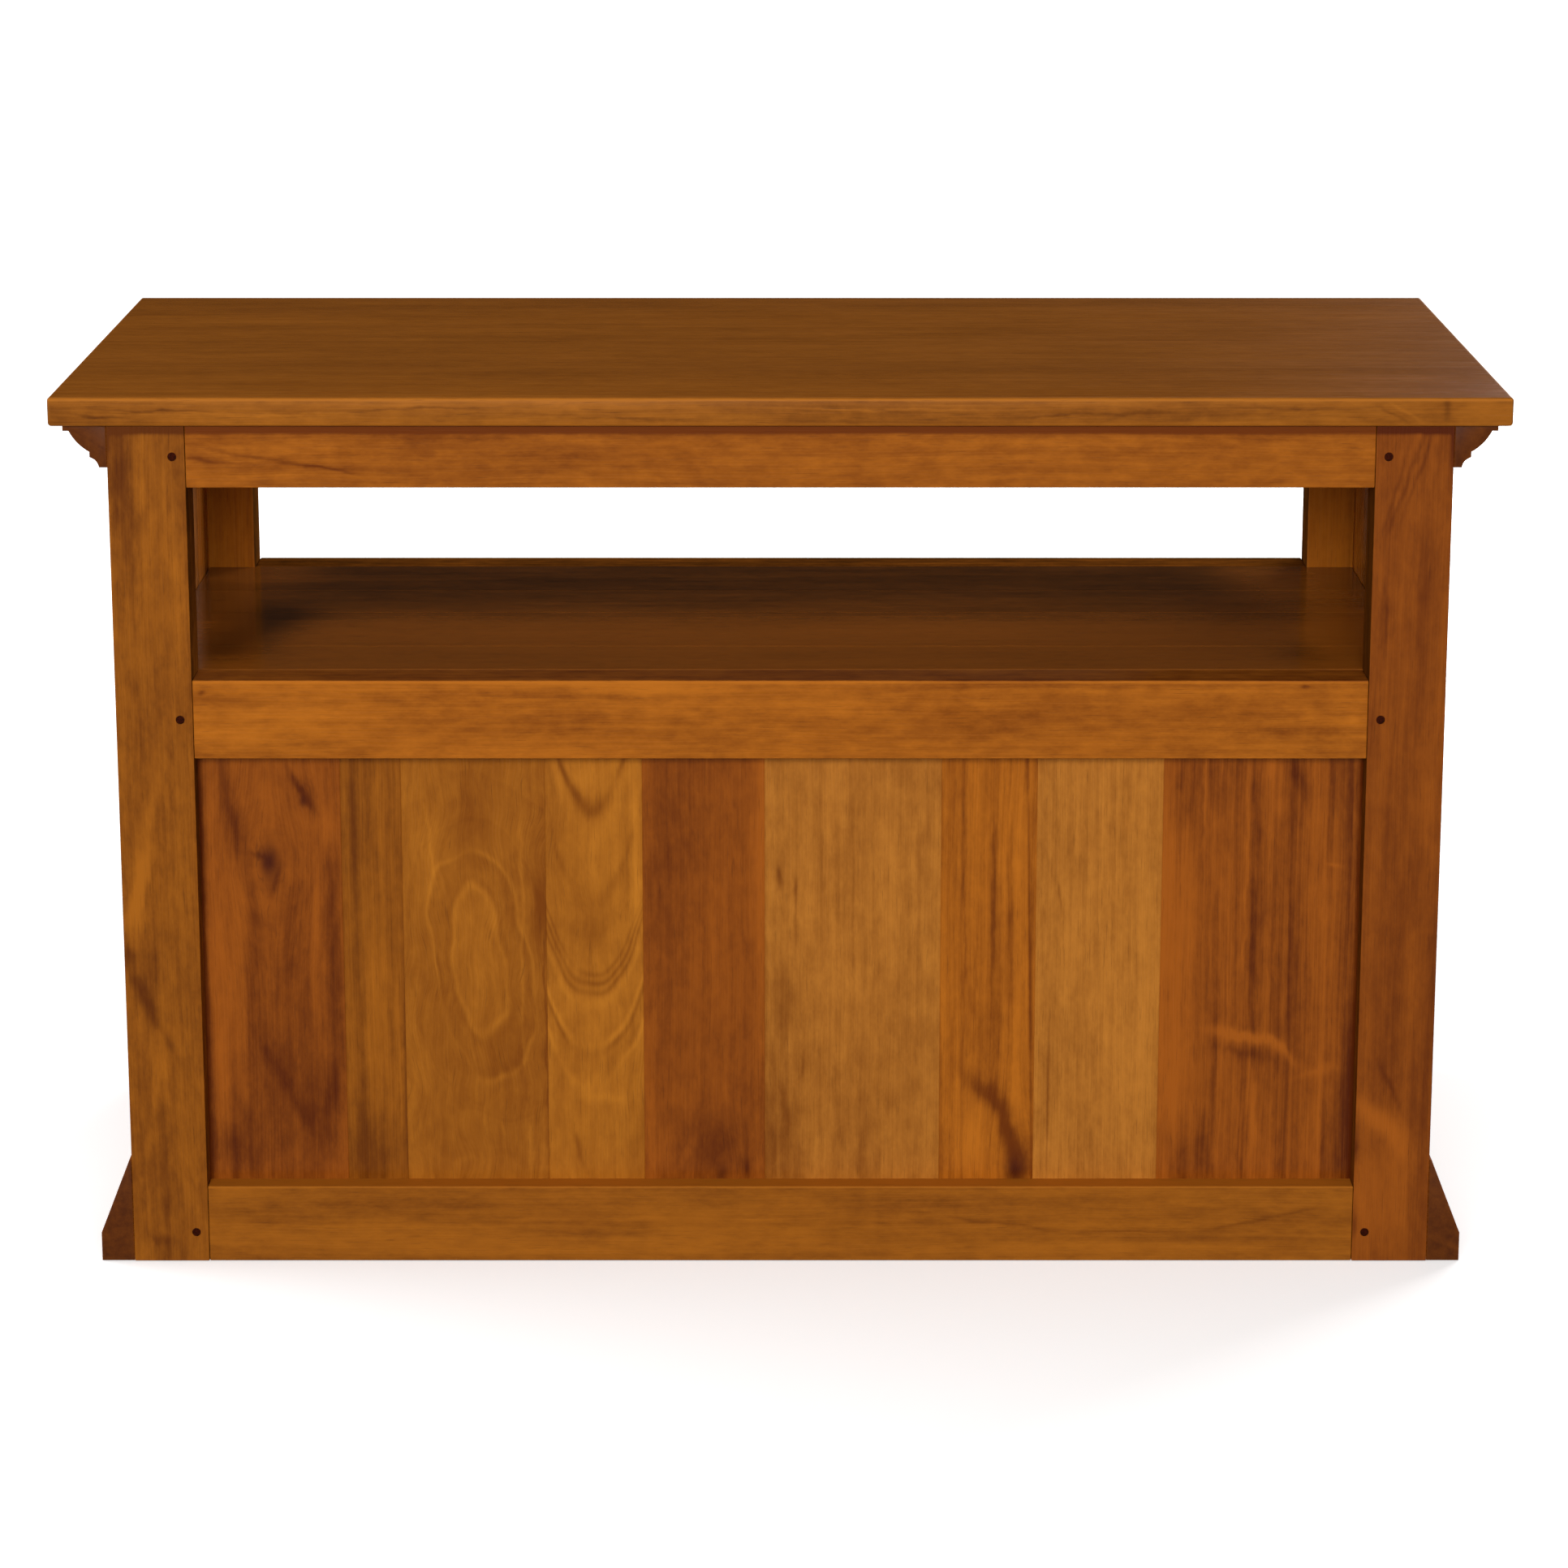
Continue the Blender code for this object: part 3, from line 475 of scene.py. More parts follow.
class GrainTone(SharedGroup):
    """Colour, gloss and height of a stained board; its cells are noise cells in a metre across and along."""

    NAME = "board_grain_tone"
    NUMBERS = ("seed", "rings", "bands", "lines", "streaks", "mottle", "shade", "rough")
    TAKES = {
        "Board": VECTOR, "Across": NUMBER, "Radius": NUMBER, "End": NUMBER, "Edge": NUMBER, "Knot": NUMBER,
        "Lift": NUMBER, "dark": COLOUR, "light": COLOUR,
    }
    GIVES = {"Colour": COLOUR, "Roughness": NUMBER, "Height": NUMBER}
    KNOT_COLOUR: Colour = (62, 18, 8)
    PORE_COLOUR: Colour = (60, 26, 8)
    END_COLOUR: Colour = (48, 22, 10)
    FIBRE_CELLS = (620.0, 9.0)
    STREAK_CELLS = (150.0, 2.6)
    MOTTLE_CELLS = (24.0, 6.0)
    FLECK_CELLS = (120.0, 46.0)
    PORE_CELLS = (1300.0, 38.0)
    MIDDLE_TONE = 0.53

    def draw(self) -> dict[str, Socket]:
        """Turn rings, fibres and marks into a tone, and the tone into a finish.

        Returns:
            The colour, the roughness and the height.
        """
        sheet, given = self.sheet, self.given
        bent = given["Across"]
        across = sheet.parts(given["Board"])[0]
        uneven = sheet.times(sheet.noise(self.spread(self.MOTTLE_CELLS, across), 2.0), 1.1)
        ring = sheet.total(sheet.times(given["Radius"], given["rings"]), given["seed"], uneven)
        band = sheet.noise(sheet.times(ring, 0.42), 1.5, line=True)
        late = sheet.ramp(sheet.noise(sheet.times(ring, 0.9), 1.0, 0.4, line=True), 0.06, 0.26)
        growth = sheet.noise(sheet.times(ring, 3.6), 1.0, line=True)
        fibre = sheet.noise(self.spread(self.FIBRE_CELLS, bent), 3.0, 0.6)
        streak = sheet.noise(self.spread(self.STREAK_CELLS, bent), 3.0, 0.6)
        mottle = sheet.noise(self.spread(self.MOTTLE_CELLS, across), 3.0, 0.6)
        fleck = sheet.noise(self.spread(self.FLECK_CELLS, bent), 3.0, 0.7)
        pores = sheet.ramp(sheet.noise(self.spread(self.PORE_CELLS, bent), 1.0), 0.13, 0.24)
        thin = sheet.math("SUBTRACT", sheet.times(growth, 0.6), late)
        fibres = sheet.weighed((streak, 1.5), (fibre, 0.7))
        clouds = sheet.weighed((mottle, 2.0), (fleck, 1.9))
        tone = sheet.total(
            self.MIDDLE_TONE, given["shade"], given["Lift"],
            sheet.times(sheet.times(band, 2.4), given["bands"]), sheet.times(thin, given["lines"]),
            sheet.times(fibres, given["streaks"]), sheet.times(clouds, given["mottle"]),
        )
        colour = sheet.blend(sheet.ramp(tone, -0.08, 1.08), given["dark"], given["light"])
        colour = sheet.blend(sheet.times(pores, 0.28), colour, linear(self.PORE_COLOUR))
        colour = sheet.blend(given["Knot"], colour, linear(self.KNOT_COLOUR))
        colour = sheet.blend(sheet.times(given["End"], 0.62), colour, linear(self.END_COLOUR))
        worn = sheet.add("ShaderNodeAttribute", attribute_name=EDGE_LAYER).outputs["Fac"]
        # Eased edges lighten a little: wear, and partly a painted highlight along the arrises.
        wear_and_highlight = sheet.times(worn, sheet.ramp(mottle, -0.25, 0.25))
        colour = sheet.blend(sheet.times(wear_and_highlight, 0.16), colour, given["light"])
        end, edge, knot = given["End"], given["Edge"], given["Knot"]
        dull = sheet.weighed((fibre, 0.12), (mottle, 0.10), (end, 0.18), (edge, 0.34), (worn, 0.28))
        height = sheet.weighed((fibre, 0.7), (pores, -0.6), (late, -0.3), (knot, -0.5))
        return {"Colour": colour, "Roughness": sheet.total(given["rough"], dull), "Height": height}


@dataclass(frozen=True)
class Grain:
    """The two shared groups that draw every board."""

    pith: PithDistance = field(default_factory=PithDistance)
    tone: GrainTone = field(default_factory=GrainTone)


class Finish:
    """A material under construction: a Principled surface and the sheet that feeds it."""

    def __init__(self, name: str) -> None:
        """Start a material with one Principled shader.

        Args:
            name: Name of the material.
        """
        self.material = bpy.data.materials.new(name)
        self.sheet = NodeSheet.blank(self.material)
        self.shader = self.sheet.add("ShaderNodeBsdfPrincipled")
        self.sheet.add("ShaderNodeOutputMaterial", {"Surface": self.shader.outputs[0]})

    def place(self, scale: Point3 = (1.0, 1.0, 1.0), move: Point3 = ORIGIN) -> Socket:
        """Give Object coordinates, scaled and then moved."""
        return self.sheet.mapped(self.sheet.add("ShaderNodeTexCoord").outputs["Object"], scale, move)

    def paint(self, values: dict[str, object]) -> None:
        """Give the surface its colour, its roughness and the like, by the names of its inputs."""
        self.sheet.fill(self.shader, values)

    def bump(self, height: Socket, strength: float, distance: float) -> None:
        """Raise the surface by a height.

        Args:
            height: Output that gives the height.
            strength: Share of the bump that shows.
            distance: Metres that a height of one stands for.
        """
        values = {"Strength": strength, "Distance": distance, "Height": height}
        self.paint({"Normal": self.sheet.add("ShaderNodeBump", values).outputs[0]})


@dataclass(frozen=True)
class Shake:
    """Noise that moves coordinates: its cells in a metre, its octaves, and the way across and along."""

    cells: Point3
    detail: float
    across: float
    along: float


@dataclass(frozen=True)
class StainedWood:
    """Satin lacquer over a stained board."""

    RAGGED: ClassVar[Shake] = Shake((75.0, 30.0, 30.0), 3.0, 0.009, 0.014)
    UNEVEN_CELLS: ClassVar[Point3] = (22.0, 13.0, 13.0)
    figure: Figure
    lay: Lay
    centre: Point3

    def material(self, name: str, grain: Grain) -> Material:
        """Make the material of one board.

        Args:
            name: Name of the material.
            grain: The shared grain.

        Returns:
            The material.
        """
        finish = Finish(name)
        sheet, figure = finish.sheet, self.figure
        order = [AXIS[axis] for axis in self.lay.value]
        places = sheet.parts(finish.place(move=tuple(-part for part in self.centre)))
        across, along, depth = (places[axis] for axis in order)
        loose_across, loose_along = self._shaken(sheet, (across, along, depth), self.RAGGED)
        bent, knot = self._knots(sheet, across, loose_across, loose_along)
        board = sheet.vector(bent, along, depth)
        warped = board
        if figure.warp:
            uneven = Shake(self.UNEVEN_CELLS, 1.0, figure.warp, 2 * figure.warp)
            warped = sheet.vector(*self._shaken(sheet, (bent, along, depth), uneven), depth)
        pith = grain.pith.use(sheet, {"Board": warped, **self._numbers(PithDistance)})
        facing = sheet.parts(sheet.add("ShaderNodeTexCoord").outputs["Normal"])
        turned = [sheet.math("ABSOLUTE", facing[axis]) for axis in order]
        edge, end = (sheet.ramp(part, 0.7, 0.95) for part in turned[:2])
        patches = self._marks(sheet, figure.patches, loose_across, loose_along)
        stripes = self._marks(sheet, figure.stripes, across, along)
        on_face = sheet.times(patches, sheet.ramp(turned[2], 0.3, 0.7))
        lift = sheet.total(on_face, stripes, self._rings(sheet, pith["Radius"], board))
        dark, light = figure.stain.value
        tone = grain.tone.use(sheet, {
            "Board": board, "Across": pith["Across"], "Radius": pith["Radius"], "End": end, "Edge": edge,
            "Knot": knot, "Lift": lift, "dark": linear(dark), "light": linear(light),
            **self._numbers(GrainTone),
        })
        finish.paint({"Base Color": tone["Colour"], "Roughness": tone["Roughness"]})
        finish.paint({"Specular IOR Level": figure.specular})
        finish.bump(tone["Height"], 0.12, 0.0002)
        return finish.material

    def _numbers(self, group: type[SharedGroup]) -> dict[str, float]:
        """Give the figure's values that a group takes."""
        return {name: getattr(self.figure, name) for name in group.NUMBERS}

    def _shaken(self, sheet: NodeSheet, place: Sequence[Value], shake: Shake) -> tuple[Value, Value]:
        """Shake the coordinates a little, so that knots, marks and rings have uneven edges.

        Args:
            sheet: Sheet of the material.
            place: Place across, along and through the board.
            shake: The noise that moves them.

        Returns:
            The shaken places across and along.
        """
        across, along, _ = place
        if not self.figure.knots and not self.figure.patches:
            return across, along
        spot = sheet.mapped(sheet.vector(*place), shake.cells, (self.figure.seed, 0.0, 0.0))
        noise = sheet.texture(spot, shake.detail, 0.5, False)["Color"]
        moves = [sheet.math("SUBTRACT", part, 0.5) for part in sheet.parts(noise)]
        return (
            sheet.math("MULTIPLY_ADD", moves[0], shake.across, across),
            sheet.math("MULTIPLY_ADD", moves[1], shake.along, along),
        )

    def _knots(self, sheet: NodeSheet, across: Value, ragged: Value, along: Value) -> tuple[Value, Value]:
        """Bend the grain round the knots.

        Args:
            sheet: Sheet of the material.
            across: Place across the board.
            ragged: The same, shaken.
            along: Place along the board, shaken.

        Returns:
            The bent place across, and how much of a knot is there.
        """
        found: Value = 0.0
        for knot in self.figure.knots:
            off = sheet.math("SUBTRACT", ragged, knot.across)
            wide = sheet.fall(off, knot.size)
            long = sheet.fall(sheet.math("SUBTRACT", along, knot.along), knot.size)
            swirl = sheet.weighed((wide, 0.1), (long, 0.018))
            core = sheet.weighed((wide, 1.1), (long, 0.35))
            pull = sheet.times(sheet.math("EXPONENT", swirl), -0.8)
            across = sheet.math("MULTIPLY_ADD", off, pull, across)
            found = sheet.math("MULTIPLY_ADD", sheet.math("EXPONENT", core), knot.dark, found)
        return across, found

    def _marks(self, sheet: NodeSheet, patches: Sequence[Patch], across: Value, along: Value) -> Value:
        """Add up soft lighter and darker marks.

        Args:
            sheet: Sheet of the material.
            patches: The marks.
            across: Place across the board.
            along: Place along the board.

        Returns:
            The lift at that place.
        """
        lift: Value = 0.0
        for patch in patches:
            off = sheet.math("SUBTRACT", across, patch.across)
            far = sheet.math("SUBTRACT", along, patch.along)
            if patch.turn:
                sine, cosine = math.sin(math.radians(patch.turn)), math.cos(math.radians(patch.turn))
                off, far = (
                    sheet.math("MULTIPLY_ADD", off, cosine, sheet.times(far, -sine)),
                    sheet.math("MULTIPLY_ADD", off, sine, sheet.times(far, cosine)),
                )
            fall = sheet.total(sheet.fall(off, patch.wide), sheet.fall(far, patch.high))
            lift = sheet.math("MULTIPLY_ADD", sheet.math("EXPONENT", fall), patch.lift, lift)
        return lift

    def _rings(self, sheet: NodeSheet, radius: Socket, board: Socket) -> Value:
        """Add up the growth rings that stand out, stronger here and weaker there.

        Args:
            sheet: Sheet of the material.
            radius: Distance from the pith.
            board: Place on the board.

        Returns:
            The lift at that place.
        """
        lift: Value = 0.0
        if not self.figure.marked:
            return lift
        spot = sheet.mapped(board, self.UNEVEN_CELLS, (0.0, self.figure.seed, 0.0))
        for ring in self.figure.marked:
            fall = sheet.fall(sheet.math("SUBTRACT", radius, ring.radius), ring.wide)
            lift = sheet.math("MULTIPLY_ADD", sheet.math("EXPONENT", fall), ring.lift, lift)
        return sheet.times(lift, sheet.ramp(sheet.noise(spot, 1.0), -0.24, 0.10))


@dataclass(frozen=True)
class PegEnd:
    """Dark end grain of a peg, rougher than the board round it."""

    dark: Colour = (30, 8, 2)
    light: Colour = (70, 20, 5)
    cells: Point3 = (900.0, 900.0, 900.0)

    def material(self, name: str) -> Material:
        """Make the material.

        Args:
            name: Name of the material.

        Returns:
            The material.
        """
        finish = Finish(name)
        sheet = finish.sheet
        speck = sheet.noise(finish.place(self.cells), 3.0, 0.6)
        colour = sheet.blend(sheet.ramp(speck, -0.2, 0.25), linear(self.dark), linear(self.light))
        rough = sheet.math("MULTIPLY_ADD", speck, 0.2, 0.7)
        finish.paint({"Base Color": colour, "Roughness": rough, "Specular IOR Level": 0.04})
        finish.bump(speck, 0.5, 0.0003)
        return finish.material


@dataclass(frozen=True)
class Metal:
    """Satin metal with fine lines along its height and a little tarnish."""

    tarnish: Colour
    bright: Colour
    smooth: float
    rough: float
    line_cells: Point3 = (2600.0, 2600.0, 90.0)
    cloud_cells: Point3 = (140.0, 140.0, 140.0)

    def material(self, name: str) -> Material:
        """Make the material.

        Args:
            name: Name of the material.

        Returns:
            The material.
        """
        finish = Finish(name)
        sheet = finish.sheet
        lines = sheet.noise(finish.place(self.line_cells), 2.0)
        cloud = sheet.noise(finish.place(self.cloud_cells), 3.0, 0.6)
        share = sheet.ramp(sheet.math("MULTIPLY_ADD", lines, 0.4, cloud), -0.22, 0.2)
        colour = sheet.blend(share, linear(self.tarnish), linear(self.bright))
        rough = sheet.math("MULTIPLY_ADD", share, self.smooth - self.rough, self.rough)
        finish.paint({"Base Color": colour, "Roughness": rough, "Metallic": 1.0})
        finish.bump(lines, 0.25, 0.0001)
        return finish.material


@dataclass(frozen=True)
class MouldedPlastic:
    """Dark moulded plastic with a fine spark-eroded texture."""

    dark: Colour = (44, 28, 18)
    light: Colour = (74, 50, 34)
    fine_cells: Point3 = (2200.0, 2200.0, 2200.0)
    wide_cells: Point3 = (110.0, 110.0, 110.0)

    def material(self, name: str) -> Material:
        """Make the material.

        Args:
            name: Name of the material.

        Returns:
            The material.
        """
        finish = Finish(name)
        sheet = finish.sheet
        fine = sheet.noise(finish.place(self.fine_cells), 2.0)
        wide = sheet.noise(finish.place(self.wide_cells), 2.0)
        share = sheet.ramp(sheet.math("MULTIPLY_ADD", fine, 0.5, wide), -0.3, 0.3)
        colour = sheet.blend(share, linear(self.dark), linear(self.light))
        rough = sheet.math("MULTIPLY_ADD", fine, 0.25, 0.48)
        finish.paint({"Base Color": colour, "Roughness": rough})
        finish.bump(fine, 0.3, 0.0001)
        return finish.material


@dataclass(frozen=True)
class Block:
    """Upright box between two corners, in metres."""

    low: Point3
    high: Point3

    @classmethod
    def of(cls, node: str) -> "Block":
        """Take the box of a node of the frame."""
        low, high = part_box(node)
        return cls(tuple(low), tuple(high))

    @property
    def centre(self) -> Point3:
        """Middle of the box."""
        return tuple((a + b) / 2 for a, b in zip(self.low, self.high))

    @property
    def size(self) -> Point3:
        """Lengths of the box's sides."""
        return tuple(b - a for a, b in zip(self.low, self.high))

    def between(self, axis: str, low: float, high: float) -> "Block":
        """Take the same box with other ends along one axis.

        Args:
            axis: Letter of the axis.
            low: New lower end.
            high: New higher end.

        Returns:
            The changed box.
        """
        lows, highs = list(self.low), list(self.high)
        lows[AXIS[axis]], highs[AXIS[axis]] = low, high
        return Block(tuple(lows), tuple(highs))

    def parted(self, axis: str, seams: Sequence[float]) -> list["Block"]:
        """Part the box at seams.

        Args:
            axis: Letter of the axis that the seams cross.
            seams: Their places, rising.

        Returns:
            The parts, one more than the seams.
        """
        ends = [self.low[AXIS[axis]], *seams, self.high[AXIS[axis]]]
        return [self.between(axis, low, high) for low, high in zip(ends, ends[1:])]


def on_axis(axis: str, amount: float) -> list[float]:
    """Give a vector that lies along one axis."""
    return [amount if name == axis else 0.0 for name in AXIS]


def only(parts: Iterable[object], kind: type) -> list:
    """Pick what is of one kind out of what an operator made."""
    return [part for part in parts if isinstance(part, kind)]


class Bench:
    """A bmesh under construction, with the calls that joinery needs."""

    def __init__(self) -> None:
        """Start an empty mesh with a layer that marks eased edges."""
        self.mesh = bmesh.new()
        self.edge = self.mesh.faces.layers.float.new(EDGE_LAYER)

    def ease(self, edges: Iterable[bmesh.types.BMEdge], width: float, segments: int = 3) -> None:
        """Round edges and mark the new faces as worn.

        Args:
            edges: Edges to round.
            width: Width of the rounding.
            segments: Faces across it.
        """
        made = bmesh.ops.bevel(
            self.mesh, geom=list(edges), offset=width, offset_type="OFFSET", segments=segments,
            profile=0.5, affect="EDGES", material=-1, clamp_overlap=True,
        )
        for face in made["faces"]:
            face[self.edge] = 1.0

    def board(self, block: Block, width: float = EASE, segments: int = 3) -> None:
        """Add a board with every edge eased.

        Args:
            block: Outside of the board.
            width: Width of the eased edge.
            segments: Faces across it.
        """
        verts = bmesh.ops.create_cube(self.mesh, size=1.0)["verts"]
        bmesh.ops.scale(self.mesh, vec=block.size, verts=verts)
        bmesh.ops.translate(self.mesh, vec=block.centre, verts=verts)
        self.ease(dict.fromkeys(edge for vert in verts for edge in vert.link_edges), width, segments)

    def saw(self, point: Sequence[float], normal: Sequence[float], waste: bool = False) -> dict[str, list]:
        """Split all faces along a plane.

        Args:
            point: A point of the plane.
            normal: Its normal, towards the waste if there is any.
            waste: Whether what lies beyond the plane goes.

        Returns:
            What the operator made.
        """
        parts = [*self.mesh.verts, *self.mesh.edges, *self.mesh.faces]
        return bmesh.ops.bisect_plane(
            self.mesh, geom=parts, dist=SAW_DIST, plane_co=point, plane_no=normal, clear_outer=waste
        )

    def cut(self, axis: str, place: float) -> None:
        """Split all faces along a plane across an axis."""
        self.saw(on_axis(axis, place), on_axis(axis, 1.0))

    def mitre(self, point: Point3, outward: Point3) -> None:
        """Saw off what lies beyond a plane and close the cut.

        Args:
            point: A point of the plane.
            outward: Its normal, towards the waste.
        """
        made = self.saw(point, outward, True)
        bmesh.ops.contextual_create(self.mesh, geom=only(made["geom_cut"], bmesh.types.BMEdge))
        bmesh.ops.recalc_face_normals(self.mesh, faces=self.mesh.faces)

    def push(self, faces: Sequence[bmesh.types.BMFace], way: Sequence[float], keep: bool = False) -> None:
        """Extrude flat faces along a way.

        Args:
            faces: The faces.
            way: Length and direction.
            keep: Whether a face also stays where it was.
        """
        made = bmesh.ops.extrude_face_region(self.mesh, geom=faces, use_keep_orig=keep)["geom"]
        if not keep:
            bmesh.ops.delete(self.mesh, geom=faces, context="FACES_ONLY")
        bmesh.ops.translate(self.mesh, vec=way, verts=only(made, bmesh.types.BMVert))

    def seam(
        self, axis: str, place: float, face_axis: str, width: float = 0.0004, depth: float = 0.0003
    ) -> None:
        """Cut the fine V of a glued seam into both faces of a slab.

        Args:
            axis: Axis that the seam crosses.
            place: Where it is on that axis.
            face_axis: Axis that the slab's faces look along.
            width: Half the width of the V.
            depth: Depth of the V.
        """
        for offset in (-width, 0.0, width):
            self.cut(axis, place + offset)
        index, face_index = AXIS[axis], AXIS[face_axis]
        middle = sum(vert.co[face_index] for vert in self.mesh.verts) / len(self.mesh.verts)
        for vert in self.mesh.verts:
            if abs(vert.co[index] - place) < SAME_POINT:
                vert.co[face_index] -= math.copysign(depth, vert.co[face_index] - middle)

    def pocket(self, axis: str, face: float, spans: dict[str, Point2], depth: float) -> None:
        """Sink a rectangle into a flat face.

        Args:
            axis: Axis that the face looks along.
            face: Where the face is on that axis.
            spans: Ends of the rectangle on the two other axes.
            depth: Signed way to sink it along the axis.
        """
        for other, ends in spans.items():
            for end in ends:
                self.cut(other, end)
        chosen = []
        for one in self.mesh.faces:
            middle = one.calc_center_median()
            inside = all(low < middle[AXIS[other]] < high for other, (low, high) in spans.items())
            if inside and abs(middle[AXIS[axis]] - face) < SAME_FACE:
                chosen.append(one)
        self.push(chosen, on_axis(axis, depth))

    def holes(
        self, face: float, centres: Sequence[Point2], radius: float, depth: float, steps: int = 28
    ) -> None:
        """Bore blind holes into a face that looks along +Y.

        Args:
            face: Where the face is on the Y axis.
            centres: X and Z of each hole.
            radius: Radius of the holes.
            depth: Depth of the holes.
            steps: Faces round.
        """
        back = [one for one in self.mesh.faces if one.normal.y > 0.99]
        flat = [one for one in back if abs(one.calc_center_median().y - face) < SAME_FACE]
        rim = dict.fromkeys(edge for one in flat for edge in one.edges)
        bmesh.ops.delete(self.mesh, geom=flat, context="FACES_ONLY")
        rounds = []
        for place_x, place_z in centres:
            verts = bmesh.ops.create_circle(self.mesh, segments=steps, radius=radius, cap_ends=False)["verts"]
            bmesh.ops.rotate(self.mesh, verts=verts, matrix=ROUND_Y, cent=ORIGIN)
            bmesh.ops.translate(self.mesh, vec=(place_x, face, place_z), verts=verts)
            rounds.append(dict.fromkeys(edge for vert in verts for edge in vert.link_edges))
        loops = [edge for loop in rounds for edge in loop]
        bmesh.ops.triangle_fill(self.mesh, edges=[*rim, *loops], use_beauty=True)
        for loop in rounds:
            made = bmesh.ops.extrude_edge_only(self.mesh, edges=list(loop))["geom"]
            bmesh.ops.translate(self.mesh, vec=(0.0, -depth, 0.0), verts=only(made, bmesh.types.BMVert))
            bmesh.ops.contextual_create(self.mesh, geom=only(made, bmesh.types.BMEdge))
        bmesh.ops.recalc_face_normals(self.mesh, faces=self.mesh.faces)

    def run(self, outline: Sequence[Point3], way: Point3) -> None:
        """Draw a moulding's outline out along its length.

        Args:
            outline: Points of the outline at one end.
            way: Length and direction of the run.
        """
        verts = [self.mesh.verts.new(point) for point in outline]
        self.push([self.mesh.faces.new(verts)], way, keep=True)
        bmesh.ops.recalc_face_normals(self.mesh, faces=self.mesh.faces)

    def turn(self, profile: Sequence[Point2], centre: Point3, axis: str, sign: int, steps: int) -> None:
        """Turn a profile of radius and height round an axis.

        Args:
            profile: Radius and height of each point, from one pole to the other.
            centre: Where height zero lies.
            axis: Letter of the axis.
            sign: 1 if height grows along the axis, else -1.
            steps: Faces round.
        """
        index = AXIS[axis]
        verts = []
        for radius, height in profile:
            point = list(centre)
            point[(index + 1) % 3] += radius
            point[index] += sign * height
            verts.append(self.mesh.verts.new(point))
        edges = [self.mesh.edges.new(pair) for pair in zip(verts, verts[1:])]
        bmesh.ops.spin(
            self.mesh, geom=[*verts, *edges], cent=centre, axis=on_axis(axis, 1.0), dvec=ORIGIN,
            angle=2 * math.pi, steps=steps, use_merge=True,
        )
        bmesh.ops.remove_doubles(self.mesh, verts=self.mesh.verts, dist=SAME_POINT)
        bmesh.ops.recalc_face_normals(self.mesh, faces=self.mesh.faces)

    def shade(self, axis: str, seams: Sequence[float]) -> None:
        """Give each face between two seams the next material.

        Args:
            axis: Axis that the seams cross.
            seams: Their places, rising.
        """
        for face in self.mesh.faces:
            place = face.calc_center_median()[AXIS[axis]]
            face.material_index = sum(place > seam for seam in seams)

    def mark(self, axis: str, sign: int, number: int, least: float = 0.9) -> None:
        """Give the faces that look along an axis another material.

        Args:
            axis: Letter of the axis.
            sign: Way that the faces look along it.
            number: Number of the material.
            least: Smallest cosine to the axis that still counts.
        """
        self.mesh.normal_update()
        for face in self.mesh.faces:
            if face.normal[AXIS[axis]] * sign > least:
                face.material_index = number

    def settled(self) -> bmesh.types.BMesh:
        """Copy the mesh in an order that its shape alone gives, so that every run writes the same one.

        Returns:
            The copy.
        """
        copy = bmesh.new()
        worn, old = copy.faces.layers.float.new(EDGE_LAYER), self.mesh.faces.layers.float[EDGE_LAYER]
        order = sorted(self.mesh.verts, key=lambda vert: vert.co.to_tuple(ORDER_DIGITS))
        numbers = {vert: number for number, vert in enumerate(order)}
        verts = [copy.verts.new(vert.co) for vert in order]
        rings: dict[tuple[int, ...], bmesh.types.BMFace] = {}
        for face in self.mesh.faces:
            ring = [numbers[vert] for vert in face.verts]
            start = ring.index(min(ring))
            rings[(*ring[start:], *ring[:start])] = face
        for ring, face in sorted(rings.items(), key=lambda item: item[0]):
            made = copy.faces.new([verts[number] for number in ring])
            made.material_index, made[worn] = face.material_index, face[old]
        return copy

    def piece(
        self, name: str, materials: Sequence[Material], body: Body, slot: Slot,
        nodes: Sequence[str] = (), smooth: float = 0.0,
    ) -> Piece:
        """Turn the mesh into a piece of the frame.

        Args:
            name: Name of the piece.
            materials: Materials in the order of the faces' numbers.
            body: Body that it rides on.
            slot: The record's material slot; not used.
            nodes: Nodes that it stands for.
            smooth: Angle in degrees up to which faces shade as one, or zero.

        Returns:
            The new object.
        """
        data = bpy.data.meshes.new(name)
        mesh = self.settled()
        for face in mesh.faces:
            face.smooth = smooth > 0.0
        mesh.to_mesh(data)
        mesh.free()
        self.mesh.free()
        if smooth:
            data.set_sharp_from_angle(angle=math.radians(smooth))
        for material in materials:
            data.materials.append(material)
        made = bpy.data.objects.new(name, data)
        bpy.context.scene.collection.objects.link(made)
        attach(made, body.value)
        if nodes:
            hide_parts(*nodes)
        return made


